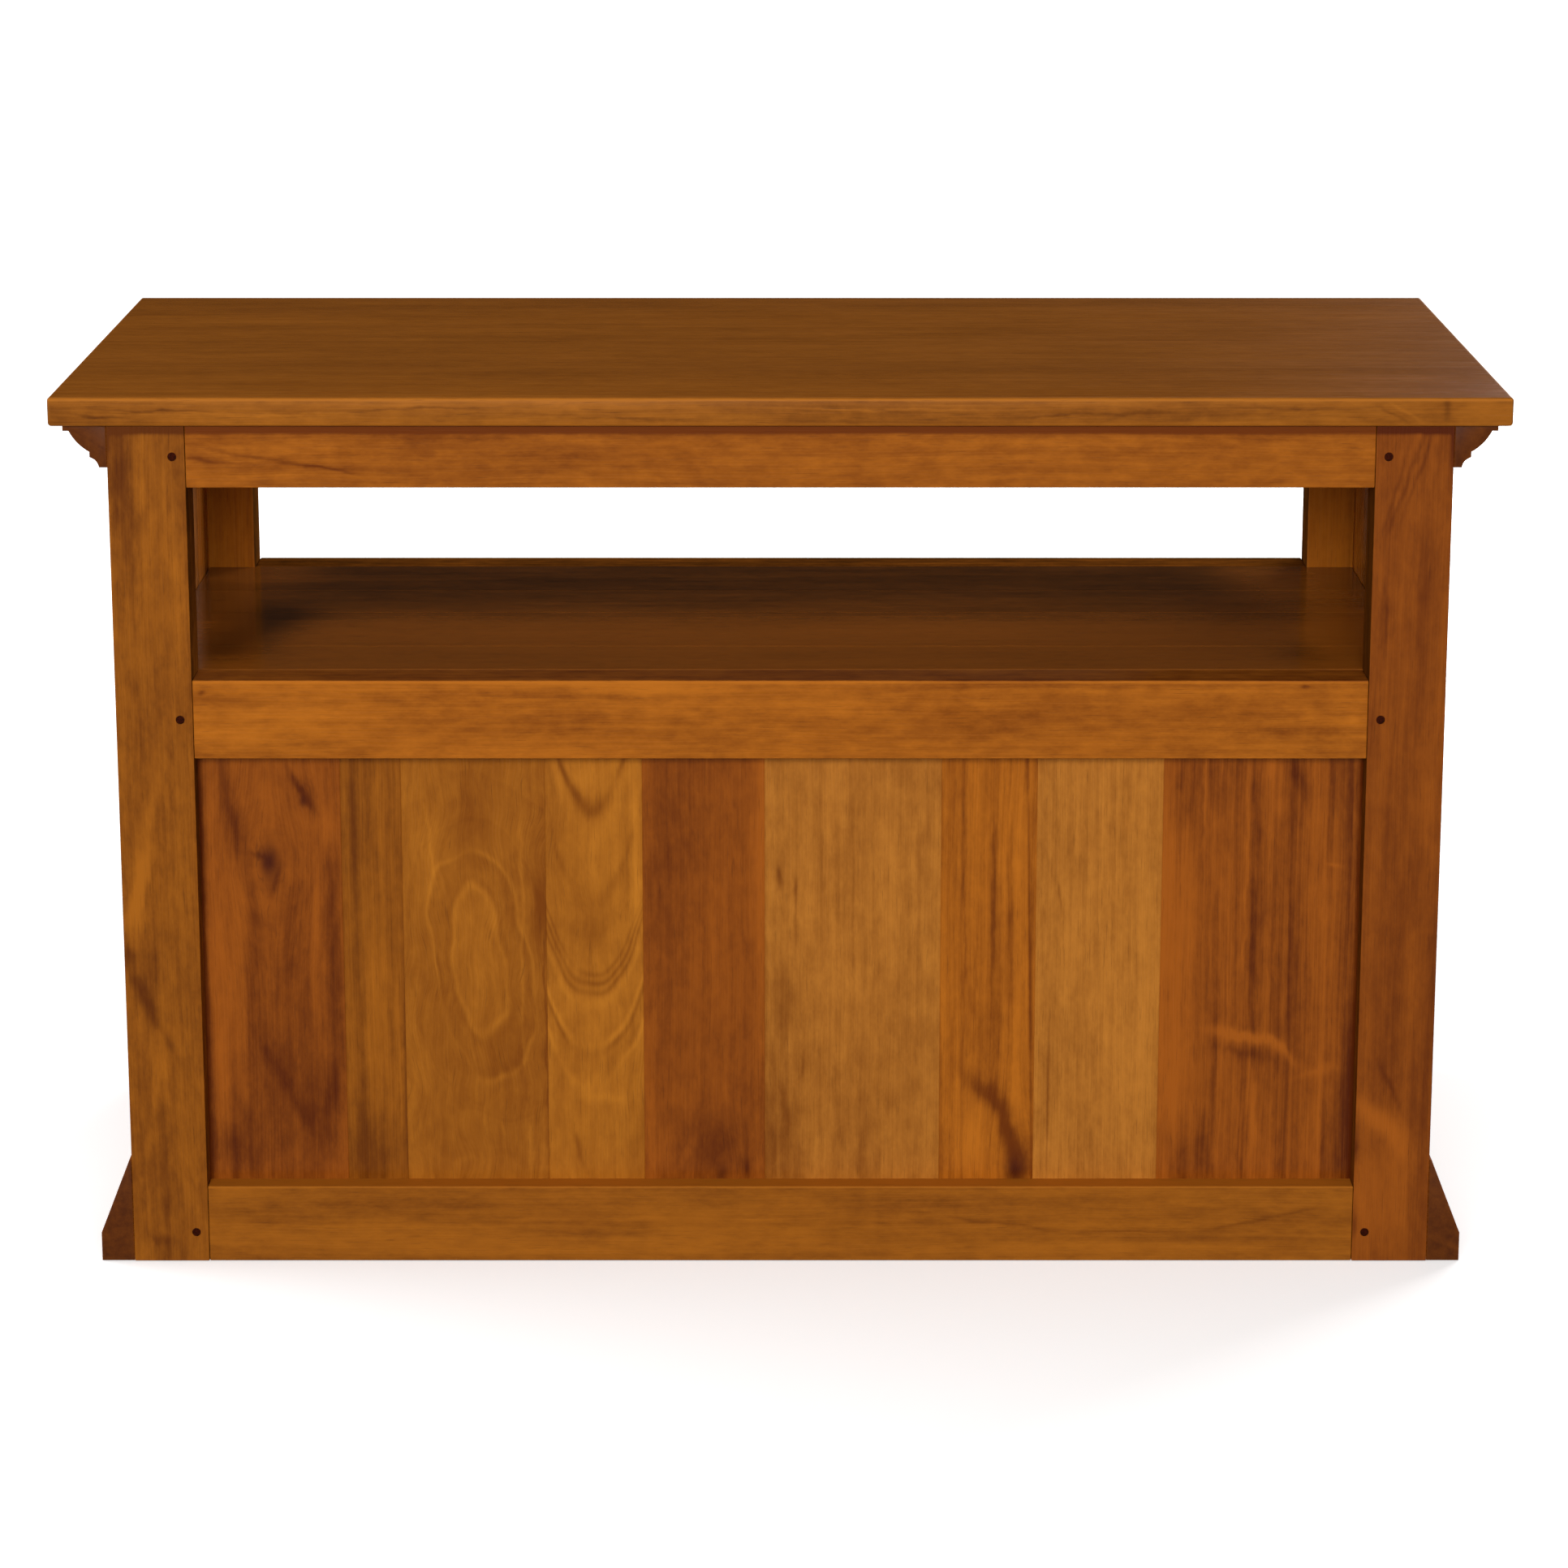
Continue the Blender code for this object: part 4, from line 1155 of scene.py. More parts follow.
@dataclass(frozen=True)
class Timber:
    """Makes single boards and glued panels in stained wood."""

    grain: Grain

    def wood(self, name: str, figure: Figure, lay: Lay, block: Block) -> Material:
        """Make the material of a board that fills a block."""
        return StainedWood(figure, lay, block.centre).material(name, self.grain)

    def woods(self, name: str, figures: Sequence[Figure], lay: Lay, blocks: list[Block]) -> list[Material]:
        """Make the materials of the boards of a panel, each numbered after the panel's name.

        Args:
            name: Name of the panel.
            figures: Grain of each board.
            lay: How the boards lie.
            blocks: Outside of each board.

        Returns:
            The materials.
        """
        boards = enumerate(zip(figures, blocks))
        return [self.wood(f"{name}_{number}", figure, lay, block) for number, (figure, block) in boards]

    def board(
        self, name: str, block: Block, figure: Figure, lay: Lay, body: Body = Body.CARCASS, ease: float = EASE
    ) -> Piece:
        """Make a single board that stands for the node of the same name.

        Args:
            name: Name of the node.
            block: What shows of it.
            figure: Its grain.
            lay: How it lies.
            body: Body that it rides on.
            ease: Width of its eased edges.

        Returns:
            The piece.
        """
        bench = Bench()
        bench.board(block, ease)
        return bench.piece(f"{name}_board", [self.wood(name, figure, lay, block)], body, Slot.WOOD, [name])

    def post(self, name: str, bench: Bench, block: Block, figure: Figure, shade: float) -> Piece:
        """Finish a post, whose inner side is sawn, not lacquered and darkened with painted shade.

        Args:
            name: Name of the node.
            bench: The post's mesh.
            block: Its outside.
            figure: Its grain.
            shade: Painted shade of the inner side.

        Returns:
            The piece.
        """
        bench.mark("x", 1 if block.centre[0] < 0 else -1, 1)
        # The inner side: a matte sawn face in a darker stain, with painted shade.
        sawn = replace(figure, stain=Stain.TOBACCO, shade=figure.shade + shade, rough=0.6, specular=0.0)
        woods = [
            self.wood(name, figure, Lay.UPRIGHT_BACK, block),
            self.wood(f"{name}_inner", sawn, Lay.UPRIGHT_BACK, block),
        ]
        return bench.piece(f"{name}_board", woods, Body.CARCASS, Slot.WOOD, [name])

    def panel(
        self, name: str, block: Block, axis: str, seams: Sequence[float], figures: Sequence[Figure], lay: Lay,
        body: Body = Body.CARCASS, ease: float = PANEL_EASE,
    ) -> Piece:
        """Make a panel of edge-glued boards that stands for the node of the same name.

        Args:
            name: Name of the node.
            block: What shows of it.
            axis: Axis that the seams cross.
            seams: Their places, rising.
            figures: Grain of each board, one more than the seams.
            lay: How the boards lie.
            body: Body that it rides on.
            ease: Width of the eased outer edges.

        Returns:
            The piece.
        """
        bench = Bench()
        bench.board(block, ease)
        for place in seams:
            bench.seam(axis, place, lay.value[2])
        bench.shade(axis, seams)
        woods = self.woods(name, figures, lay, block.parted(axis, seams))
        return bench.piece(f"{name}_boards", woods, body, Slot.WOOD, [name])


def even_seams(low: float, high: float, count: int, seed: int) -> list[float]:
    """Share a width among boards of nearly equal width.

    Args:
        low: Start of the width.
        high: End of the width.
        count: Number of boards.
        seed: Number that fixes the small differences.

    Returns:
        Places of the seams, rising.
    """
    dice = random.Random(seed)
    step = (high - low) / count
    return [low + step * (number + dice.uniform(-0.18, 0.18)) for number in range(1, count)]


def dress(node: str, material: Material) -> None:
    """Give a node of the frame its finish.

    Args:
        node: Name of the node.
        material: The finish.
    """
    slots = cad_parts[node].data.materials
    slots.clear()
    slots.append(material)


@dataclass
class BackFrame:
    """Back posts, back rails and the pegs that pin them.

    The painted shadow and each edge's lines are the way below the top edge, the width and the lift: a painted
    shadow under the top, painted shade and a painted highlight at the middle rail's arris, and painted light
    on the bottom rail's ledge. The corner is the width, height and lift of a painted shadow at the outer
    corner under the top.
    """

    timber: Timber
    peg_clearance: float = 0.0002
    peg_hole: float = 0.006
    ease: float = 0.0008
    # Painted shade on the back posts' inner sides.
    inner_painted_shade: float = -0.15
    # Painted shadow under the top across each post; the corner is a painted shadow down its outer edge.
    painted_shadow: Point3 = (0.0030, 0.0030, -1.2)
    corner: Point3 = (0.0026, 0.042, -0.6)
    # Painted light and shade along the rails' top edges.
    edges: dict[str, tuple[Point3, ...]] = field(default_factory=lambda: {
        "rail_back_top": ((0.0030, 0.0030, -1.2),),
        "rail_back_middle": ((-0.0002, 0.0007, -0.28), (0.0017, 0.0009, 0.35)),
        "rail_back_bottom": ((0.0, 0.0012, 0.4),),
    })
    posts: dict[str, Figure] = field(default_factory=lambda: {
        "post_back_right": Figure(
            Stain.CARAMEL, 1.3, pith_across=0.05, pith_along=-0.1, pith_depth=0.02, slope=0.02, rings=120.0,
            bands=0.16, lines=0.08, streaks=0.36, mottle=0.36, shade=-0.02,
            patches=marks(
                (0.021, 0.325, 0.01, 0.06, -0.36), (0.0067, 0.279, 0.004, 0.015, -0.25, -10.0),
                (0.0048, 0.32, 0.003, 0.05, 0.2), (0.0107, 0.232, 0.005, 0.06, -0.16),
                (0.0195, 0.173, 0.006, 0.06, 0.16, -5.0), (-0.0248, 0.232, 0.004, 0.06, 0.16),
                (0.013, 0.0, 0.0065, 0.075, 0.42, -9.0), (0.0168, -0.049, 0.012, 0.03, 0.26),
                (0.018, -0.12, 0.005, 0.022, -0.3, 31.0), (0.028, -0.09, 0.007, 0.009, -0.36),
                (0.006, -0.19, 0.005, 0.055, 0.26, -5.0), (0.0165, -0.028, 0.005, 0.04, 0.32, -21.0),
                (0.005, -0.15, 0.004, 0.045, -0.2, 27.0), (0.017, -0.165, 0.008, 0.05, 0.18, 20.0),
                (0.008, -0.343, 0.005, 0.012, -0.25, 60.0), (-0.012, -0.05, 0.01, 0.08, -0.08),
            ),
        ),
        "post_back_left": Figure(
            Stain.RUSSET, 8.9, pith_across=-0.2, pith_depth=0.05, slope=0.12, rings=120.0, bands=0.08,
            lines=0.06, streaks=0.28, mottle=0.22, shade=-0.05,
            patches=marks(
                (0.005, 0.318, 0.002, 0.05, -0.24, -18.0), (-0.004, 0.325, 0.002, 0.04, -0.2, -18.0),
                (0.014, 0.31, 0.002, 0.04, -0.2, -15.0), (-0.02, 0.3, 0.01, 0.04, 0.14),
                (0.019, 0.202, 0.002, 0.03, -0.22), (-0.0114, -0.032, 0.01, 0.04, -0.14),
                (0.018, -0.232, 0.008, 0.022, 0.42, 52.0), (-0.004, -0.254, 0.009, 0.02, 0.32, 30.0),
                (0.008, -0.3, 0.022, 0.06, 0.34), (0.033, -0.264, 0.004, 0.014, -0.5),
                (0.031, -0.329, 0.005, 0.012, -0.36), (0.004, -0.205, 0.003, 0.024, -0.22, 25.0),
            ),
        ),
    })
    rails: dict[str, Figure] = field(default_factory=lambda: {
        "rail_back_top": Figure(
            Stain.AMBER, 3.1, pith_across=0.05, pith_depth=0.05, slope=0.03, rings=100.0, bands=0.12,
            lines=0.08, streaks=0.26, mottle=0.34, shade=-0.04,
            patches=marks(
                (-0.0003, 0.427, 0.0018, 0.06, -0.24, 9.8), (-0.0095, 0.375, 0.0012, 0.02, -0.32, 10.0),
                (-0.003, 0.47, 0.0018, 0.022, -0.36, 4.0), (0.0125, 0.3, 0.008, 0.03, -0.14),
                (0.0, 0.2, 0.012, 0.05, -0.12), (0.008, 0.4, 0.006, 0.06, 0.12),
            ),
        ),
        "rail_back_middle": Figure(
            Stain.AMBER, 5.7, pith_across=-0.06, pith_depth=0.06, slope=0.02, rings=80.0, bands=0.14,
            lines=0.1, streaks=0.3, mottle=0.36, shade=0.08,
            patches=marks(
                (0.018, 0.25, 0.002, 0.06, 0.16, 2.0), (-0.005, 0.19, 0.012, 0.06, -0.16),
                (0.023, 0.4815, 0.002, 0.003, -0.4), (-0.012, 0.43, 0.015, 0.06, 0.16),
                (0.0, -0.2, 0.02, 0.12, -0.1), (0.008, -0.44, 0.006, 0.008, 0.22),
                (-0.01, -0.455, 0.006, 0.012, -0.16), (0.0, -0.475, 0.004, 0.006, 0.22),
                (-0.014, -0.42, 0.006, 0.015, -0.14), (0.0275, -0.437, 0.0015, 0.004, -0.4),
            ),
        ),
        "rail_back_bottom": Figure(
            Stain.CARAMEL, 7.9, pith_across=0.06, pith_depth=0.04, slope=0.03, rings=80.0, bands=0.12,
            lines=0.08, streaks=0.28, mottle=0.32, shade=0.1,
            patches=marks(
                (-0.018, 0.0, 0.014, 0.9, 0.1), (0.018, 0.3, 0.01, 0.1, -0.18),
                (0.0, -0.19, 0.0018, 0.07, -0.2, 8.0), (-0.007, -0.29, 0.0018, 0.05, -0.24, 1.0),
                (0.003, -0.405, 0.0018, 0.05, -0.2, -11.0), (-0.01, -0.4, 0.02, 0.08, -0.14),
            ),
        ),
    })

    def build(self) -> Iterator[Piece]:
        """Make the posts, the rails and the finish of the pegs.

        Returns:
            The pieces, one after the other.
        """
        for name, figure in self.posts.items():
            yield self._post(name, figure)
        left, right = Block.of("post_back_left"), Block.of("post_back_right")
        for name, figure in self.rails.items():
            block = Block.of(name).between("x", left.high[0] + GAP, right.low[0] - GAP)
            half = block.size[2] / 2
            # Each rail gets its painted light and shade along its top edge.
            figure = figure.striped(
                *((half - below, 0.0, wide, ENDLESS, lift) for below, wide, lift in self.edges[name])
            )
            yield self.timber.board(name, block, figure, Lay.LENGTHWISE_BACK, ease=self.ease)
        dark = PegEnd().material("peg_end_grain")
        for level in LEVELS:
            for side, _ in SIDES:
                dress(f"peg_{level}_{side}", dark)

    def _post(self, name: str, figure: Figure) -> Piece:
        """Make a post with a bored hole for each of its pegs.

        Args:
            name: Name of the node.
            figure: Its grain.

        Returns:
            The piece.
        """
        block = Block.of(name)
        pegs = [Block.of(f"peg_{level}_{name.rsplit('_', 1)[1]}") for level in LEVELS]
        bench = Bench()
        bench.board(block, self.ease)
        centres = [(peg.centre[0], peg.centre[2]) for peg in pegs]
        bench.holes(block.high[1], centres, pegs[0].size[0] / 2 + self.peg_clearance, self.peg_hole)
        outer = math.copysign(block.size[0] / 2, block.centre[0])
        half = block.size[2] / 2
        # Painted shadow under the top across the post, and a painted shadow down its outer corner.
        below, high, lift = self.painted_shadow
        figure = figure.striped((0.0, half - below, ENDLESS, high, lift), (outer, half, *self.corner))
        return self.timber.post(name, bench, block, figure, self.inner_painted_shade)


@dataclass
class BackPanel:
    """Recessed back panel of nine upright boards, each with its own figure.

    The painted shadow is the height and the lift of a painted shadow line under the middle rail.
    """

    timber: Timber
    painted_shadow: Point2 = (0.0028, -0.8)
    seams: tuple[float, ...] = (-0.322, -0.216, -0.1356, 0.0134, 0.1162, 0.1981, 0.319, 0.370)
    figures: tuple[Figure, ...] = (
        Figure(
            Stain.RUSSET, 21.0, pith_across=0.07, pith_depth=0.03, slope=0.02, rings=130.0, bands=0.2,
            lines=0.14, streaks=0.62, mottle=0.28, shade=0.09,
            patches=marks(
                (0.0665, 0.152, 0.018, 0.04, -0.28), (0.0497, 0.153, 0.002, 0.05, 0.3),
                (0.036, 0.165, 0.01, 0.04, -0.16), (0.0055, 0.139, 0.004, 0.05, -0.26, 2.0),
                (0.005, 0.025, 0.006, 0.08, -0.1), (0.0141, 0.06, 0.0015, 0.1, 0.22),
                (-0.0091, 0.04, 0.002, 0.1, -0.18), (-0.004, 0.1745, 0.006, 0.012, 0.3),
                (-0.0286, 0.165, 0.007, 0.022, -0.32, 25.0), (-0.0114, 0.1415, 0.004, 0.012, 0.22),
                (-0.0604, 0.0904, 0.002, 0.006, 0.35, 85.0), (0.013, -0.061, 0.005, 0.026, 0.62, 80.0),
                (-0.019, -0.0725, 0.004, 0.016, 0.5, 52.0), (-0.05, -0.092, 0.004, 0.016, 0.24, -78.0),
                (0.012, -0.0765, 0.005, 0.026, -0.22, 80.0), (0.0043, -0.135, 0.004, 0.06, 0.46, 2.0),
                (0.035, -0.1625, 0.003, 0.04, 0.24), (-0.051, -0.13, 0.006, 0.06, 0.22),
                (0.0665, -0.162, 0.016, 0.035, -0.26), (0.047, -0.165, 0.006, 0.03, -0.24),
                (-0.0651, -0.154, 0.01, 0.045, -0.18), (-0.054, 0.02, 0.008, 0.09, 0.16),
                (0.081, 0.06, 0.008, 0.14, 0.38), (0.069, -0.11, 0.014, 0.07, 0.3),
                (0.044, 0.13, 0.006, 0.05, 0.24), (0.062, 0.01, 0.008, 0.05, 0.16),
                (-0.01, -0.05, 0.01, 0.13, -0.24), (-0.042, 0.01, 0.01, 0.2, -0.2),
            ),
            # These stripes darken the panel's edge by the stile: painted shade in the recess.
            stripes=marks(
                (-0.083, 0.0, 0.006, 0.9, -0.6), (-0.0825, -0.13, 0.01, 0.09, -0.3),
            ),
        ),
        Figure(
            Stain.SAND, 23.4, pith_across=-0.3, pith_depth=0.1, rings=80.0, bands=0.1, lines=0.06,
            streaks=0.42, mottle=0.34, shade=0.1,
            patches=marks(
                (0.0336, 0.065, 0.0015, 0.012, -0.3, 6.0), (-0.015, -0.09, 0.03, 0.08, 0.12),
                (-0.018, 0.04, 0.02, 0.07, 0.13), (0.036, 0.02, 0.014, 0.12, -0.12),
                (-0.05, -0.15, 0.008, 0.06, -0.16),
            ),
            stripes=marks(
                (0.0409, -0.12, 0.0013, 0.07, -0.34),
            ),
        ),
        Figure(
            Stain.AMBER, 25.2, pith_across=0.2, pith_depth=0.05, slope=0.03, rings=130.0, bands=0.18,
            lines=0.18, streaks=0.52, mottle=0.3, shade=0.1, knots=(Knot(-0.0254, -0.18, 0.009, 0.8),),
            patches=marks(
                (0.003, -0.108, 0.008, 0.022, -0.44, 45.0), (-0.018, -0.1426, 0.008, 0.034, -0.62, 17.0),
                (-0.0254, -0.176, 0.012, 0.028, -0.6), (0.0136, -0.154, 0.012, 0.03, 0.32),
                (0.0014, -0.065, 0.012, 0.03, -0.16), (0.02, 0.04, 0.0015, 0.08, -0.24),
                (-0.004, 0.06, 0.002, 0.09, -0.26), (0.01, 0.0, 0.0015, 0.06, -0.2),
                (-0.018, 0.08, 0.0015, 0.06, -0.2),
            ),
            stripes=marks(
                (-0.0356, 0.0, 0.0014, 0.3, -0.4, 1.2),
            ),
        ),
        Figure(
            Stain.SAND, 27.7, pith_across=-0.26, pith_depth=0.12, rings=70.0, bands=0.08, lines=0.05,
            streaks=0.32, mottle=0.34, shade=0.01,
            patches=marks(
                (0.0615, 0.082, 0.003, 0.01, -0.34), (0.0485, 0.067, 0.002, 0.012, -0.34),
                (0.0485, 0.0375, 0.002, 0.02, -0.24), (0.059, -0.0315, 0.008, 0.03, -0.18),
                (0.0557, -0.132, 0.004, 0.02, -0.3), (0.043, -0.09, 0.002, 0.012, -0.24),
                (-0.055, 0.08, 0.0015, 0.06, -0.2), (-0.012, -0.03, 0.03, 0.1, -0.02),
                (0.07, -0.14, 0.03, 0.08, -0.3), (0.05, -0.02, 0.014, 0.04, -0.1),
                (-0.036, -0.13, 0.018, 0.05, -0.12), (0.02, 0.11, 0.02, 0.08, 0.07),
            ),
        ),
        Figure(
            Stain.RUSSET, 29.1, pith_across=0.3, pith_depth=0.08, rings=110.0, bands=0.06, lines=0.05,
            streaks=0.26, mottle=0.28, shade=0.05, knots=(Knot(-0.015, -0.185, 0.005, 0.6),),
            patches=marks(
                (0.04, 0.07, 0.016, 0.13, -0.14), (-0.01, -0.01, 0.01, 0.12, 0.05),
                (-0.0125, -0.159, 0.022, 0.03, -0.3), (-0.036, -0.1766, 0.004, 0.008, -0.4),
                (0.016, -0.168, 0.003, 0.02, 0.2, -20.0), (-0.046, 0.0, 0.004, 0.3, 0.08),
                (-0.051, 0.11, 0.011, 0.11, 0.34), (0.012, 0.09, 0.014, 0.12, -0.14),
                (0.035, 0.0, 0.008, 0.05, 0.14), (-0.05, -0.13, 0.006, 0.06, -0.16),
            ),
        ),
        Figure(
            Stain.HONEY, 31.6, pith_across=0.0, pith_along=-0.025, pith_depth=0.073, slope=-0.15, rings=95.0,
            bands=0.06, lines=0.04, streaks=0.2, mottle=0.24, warp=0.01, shade=-0.01,
            marked=(
                Ring(0.0558, 0.001, -0.38), Ring(0.059, 0.002, 0.12), Ring(0.0673, 0.001, -0.14),
                Ring(0.0785, 0.0005, -0.18), Ring(0.08, 0.0005, -0.26), Ring(0.0815, 0.0005, -0.24),
                Ring(0.0831, 0.0008, 0.14), Ring(0.0881, 0.0006, 0.2), Ring(0.0893, 0.0006, -0.18),
                Ring(0.0935, 0.0008, 0.22),
            ),
            patches=marks(
                (-0.0345, 0.1, 0.004, 0.09, 0.24), (0.0107, 0.17, 0.018, 0.02, 0.16),
                (0.0057, 0.0315, 0.025, 0.03, -0.16), (0.0155, -0.16, 0.003, 0.022, -0.24, 16.0),
                (-0.0066, -0.114, 0.005, 0.02, 0.18, 85.0), (0.018, 0.13, 0.022, 0.06, -0.14),
                (0.02, -0.02, 0.022, 0.06, 0.07), (-0.036, -0.15, 0.008, 0.06, -0.12),
            ),
        ),
        Figure(
            Stain.HONEY, 33.8, pith_across=-0.0064, pith_along=0.0, pith_depth=0.023, bow=2.18, lean=0.1,
            slope=0.0, rings=95.0, bands=0.05, lines=0.04, streaks=0.2, mottle=0.22, warp=0.03, shade=-0.15,
            marked=(
                Ring(0.0381, 0.0014, 0.15), Ring(0.0406, 0.0018, -0.09), Ring(0.0512, 0.0013, 0.16),
                Ring(0.0488, 0.0022, -0.08),
            ),
            patches=marks(
                (-0.007, 0.004, 0.024, 0.072, 0.15), (-0.0396, 0.02, 0.0014, 0.11, 0.16),
                (0.037, 0.115, 0.0016, 0.045, 0.14, 8.0), (-0.0555, 0.055, 0.005, 0.03, -0.34),
                (-0.0595, -0.06, 0.0012, 0.13, -0.3), (0.002, 0.134, 0.024, 0.042, -0.2),
                (0.0355, 0.095, 0.01, 0.04, 0.18), (-0.046, -0.16, 0.002, 0.04, 0.18),
                (-0.054, -0.165, 0.002, 0.04, 0.18), (0.03, -0.02, 0.014, 0.06, -0.04),
                (-0.014, -0.05, 0.02, 0.11, -0.14), (-0.014, 0.13, 0.028, 0.05, 0.1),
            ),
        ),
        Figure(
            Stain.CARAMEL, 35.5, pith_across=0.3, pith_depth=0.05, rings=110.0, bands=0.14, lines=0.1,
            streaks=0.46, mottle=0.28, shade=-0.05,
            patches=marks(
                (0.016, 0.13, 0.003, 0.06, -0.24), (0.002, 0.14, 0.002, 0.05, -0.18),
                (0.002, -0.004, 0.008, 0.04, 0.26), (-0.02, -0.1, 0.002, 0.08, 0.2),
                (0.004, -0.165, 0.02, 0.036, -0.34), (0.0, -0.08, 0.014, 0.04, 0.1),
            ),
        ),
        Figure(
            Stain.RUSSET, 37.9, pith_across=-0.022, pith_along=-0.149, pith_depth=0.043, slope=-0.063,
            rings=90.0, wander=0.004, bands=0.06, lines=0.05, streaks=0.36, mottle=0.3, shade=0.12,
            knots=(Knot(0.0, 0.0935, 0.0092, 0.9), Knot(-0.0295, 0.1464, 0.0035, 0.6)),
            patches=marks(
                (-0.017, -0.01, 0.032, 0.115, -0.26), (-0.051, 0.02, 0.007, 0.1, -0.26),
                (-0.051, -0.105, 0.008, 0.045, -0.2, -13.0), (0.016, 0.0, 0.006, 0.085, -0.26),
                (-0.0045, -0.095, 0.006, 0.045, -0.24, 28.0), (-0.0335, -0.128, 0.014, 0.032, -0.28),
                (-0.006, -0.02, 0.0045, 0.075, 0.12), (0.04, -0.035, 0.01, 0.08, 0.16),
                (0.045, -0.078, 0.005, 0.03, 0.16), (0.033, -0.16, 0.024, 0.03, -0.28),
                (0.032, 0.14, 0.008, 0.045, -0.5, 6.0), (-0.028, 0.157, 0.004, 0.022, -0.5, 29.0),
                (-0.049, 0.124, 0.007, 0.022, 0.26), (0.008, 0.1, 0.003, 0.007, -0.4, 70.0),
                (-0.006, 0.08, 0.003, 0.012, -0.36, -20.0), (-0.04, 0.06, 0.006, 0.04, 0.12),
                (0.004, -0.13, 0.026, 0.06, -0.2), (-0.036, 0.0, 0.006, 0.08, 0.16),
            ),
            # This stripe darkens the panel's edge by the stile: painted shade in the recess.
            stripes=marks(
                (0.06, 0.0, 0.006, 0.9, -0.8),
            ),
        ),
    )

    def build(self) -> Iterator[Piece]:
        """Make the panel.

        Returns:
            Its one piece.
        """
        side = Block.of("post_back_right").low[0]
        low, high = Block.of("rail_back_bottom").high[2], Block.of("rail_back_middle").low[2]
        block = Block.of("panel_back").between("x", -side - LAP, side + LAP)
        block = block.between("z", low - LAP, high + LAP)
        # A painted shadow along the panel's top edge, under the middle rail.
        edge = (0.0, (high - low) / 2, ENDLESS, *self.painted_shadow)
        figures = [figure.striped(edge) for figure in self.figures]
        yield self.timber.panel("panel_back", block, "x", self.seams, figures, Lay.UPRIGHT_BACK)


@dataclass
class Top:
    """Overhanging top of lengthwise boards."""

    timber: Timber
    edge_round: float = 0.003
    round_steps: int = 5
    smooth: float = 35.0
    seams: tuple[float, ...] = (-0.152, -0.018, 0.128)
    edge: Figure = Figure(
        Stain.UMBER, 52.3, pith_across=0.05, pith_depth=0.04, slope=0.03, rings=140.0, bands=0.16, lines=0.12,
        streaks=0.36, mottle=0.3, shade=0.05,
        patches=marks(
            (0.001, 0.51, 0.0011, 0.045, -0.32, 2.0), (-0.003, 0.56, 0.001, 0.02, -0.28, 4.0),
            (-0.002, 0.42, 0.0014, 0.06, 0.22), (0.003, 0.3, 0.0012, 0.08, -0.24, -1.5),
            (-0.004, 0.15, 0.0014, 0.09, -0.2, 1.5), (0.002, -0.08, 0.0012, 0.08, 0.22, 1.0),
            (-0.002, -0.26, 0.0013, 0.07, -0.24, -1.5), (0.003, -0.42, 0.0013, 0.05, -0.22, 2.0),
            (0.0, -0.512, 0.0018, 0.016, 0.18, 30.0), (-0.002, -0.5, 0.0016, 0.016, -0.18, 30.0),
        ),
        stripes=marks(
            # Painted highlight along the top arris, and a lighter line along the bottom arris.
            (0.0102, 0.0, 0.001, ENDLESS, 0.6), (-0.0112, 0.0, 0.0014, ENDLESS, 0.2),
            (0.004, -0.5455, 0.009, 0.0028, -0.3), (0.0, -0.575, 0.02, 0.02, 0.14),
        ),
    )

    def build(self) -> Iterator[Piece]:
        """Make the slab.

        Returns:
            Its one piece.
        """
        block = Block.of("top_panel")
        boards = len(self.seams) + 1
        bench = Bench()
        bench.board(block, self.edge_round, self.round_steps)
        for place in self.seams:
            bench.cut("y", place)
        bench.shade("y", self.seams)
        # The back edge gets its own material, toned a little lighter than the top's boards, with a painted
        # highlight along the top arris.
        bench.mark("y", 1, boards, 0.5)
        figures = [
            Figure(
                Stain.UMBER, 41.0 + 2.3 * number, pith_across=0.03 - 0.02 * number, pith_depth=0.05,
                slope=0.02, rings=85.0, bands=0.08, lines=0.04, streaks=0.14, mottle=0.14, shade=-0.02,
            )
            for number in range(boards)
        ]
        woods = self.timber.woods("top_panel", figures, Lay.FLAT, block.parted("y", self.seams))
        woods.append(self.timber.wood("top_panel_edge", self.edge, Lay.LENGTHWISE_BACK, block))
        yield bench.piece("top_panel_boards", woods, Body.CARCASS, Slot.WOOD, ["top_panel"], self.smooth)


def bowed(start: Point2, end: Point2, bulge: float, steps: int = 9) -> list[Point2]:
    """Give the points of a shallow arc after its start.

    Args:
        start: First point of the arc.
        end: Last point of the arc.
        bulge: How far the arc stands out from its chord.
        steps: Points after the start.

    Returns:
        The points, the end among them.
    """
    first, chord = Vector(start), Vector(end) - Vector(start)
    away = Vector((-chord.y, chord.x)).normalized()
    shares = [step / steps for step in range(1, steps + 1)]
    return [tuple(first + chord * share + away * bulge * 4 * share * (1 - share)) for share in shares]


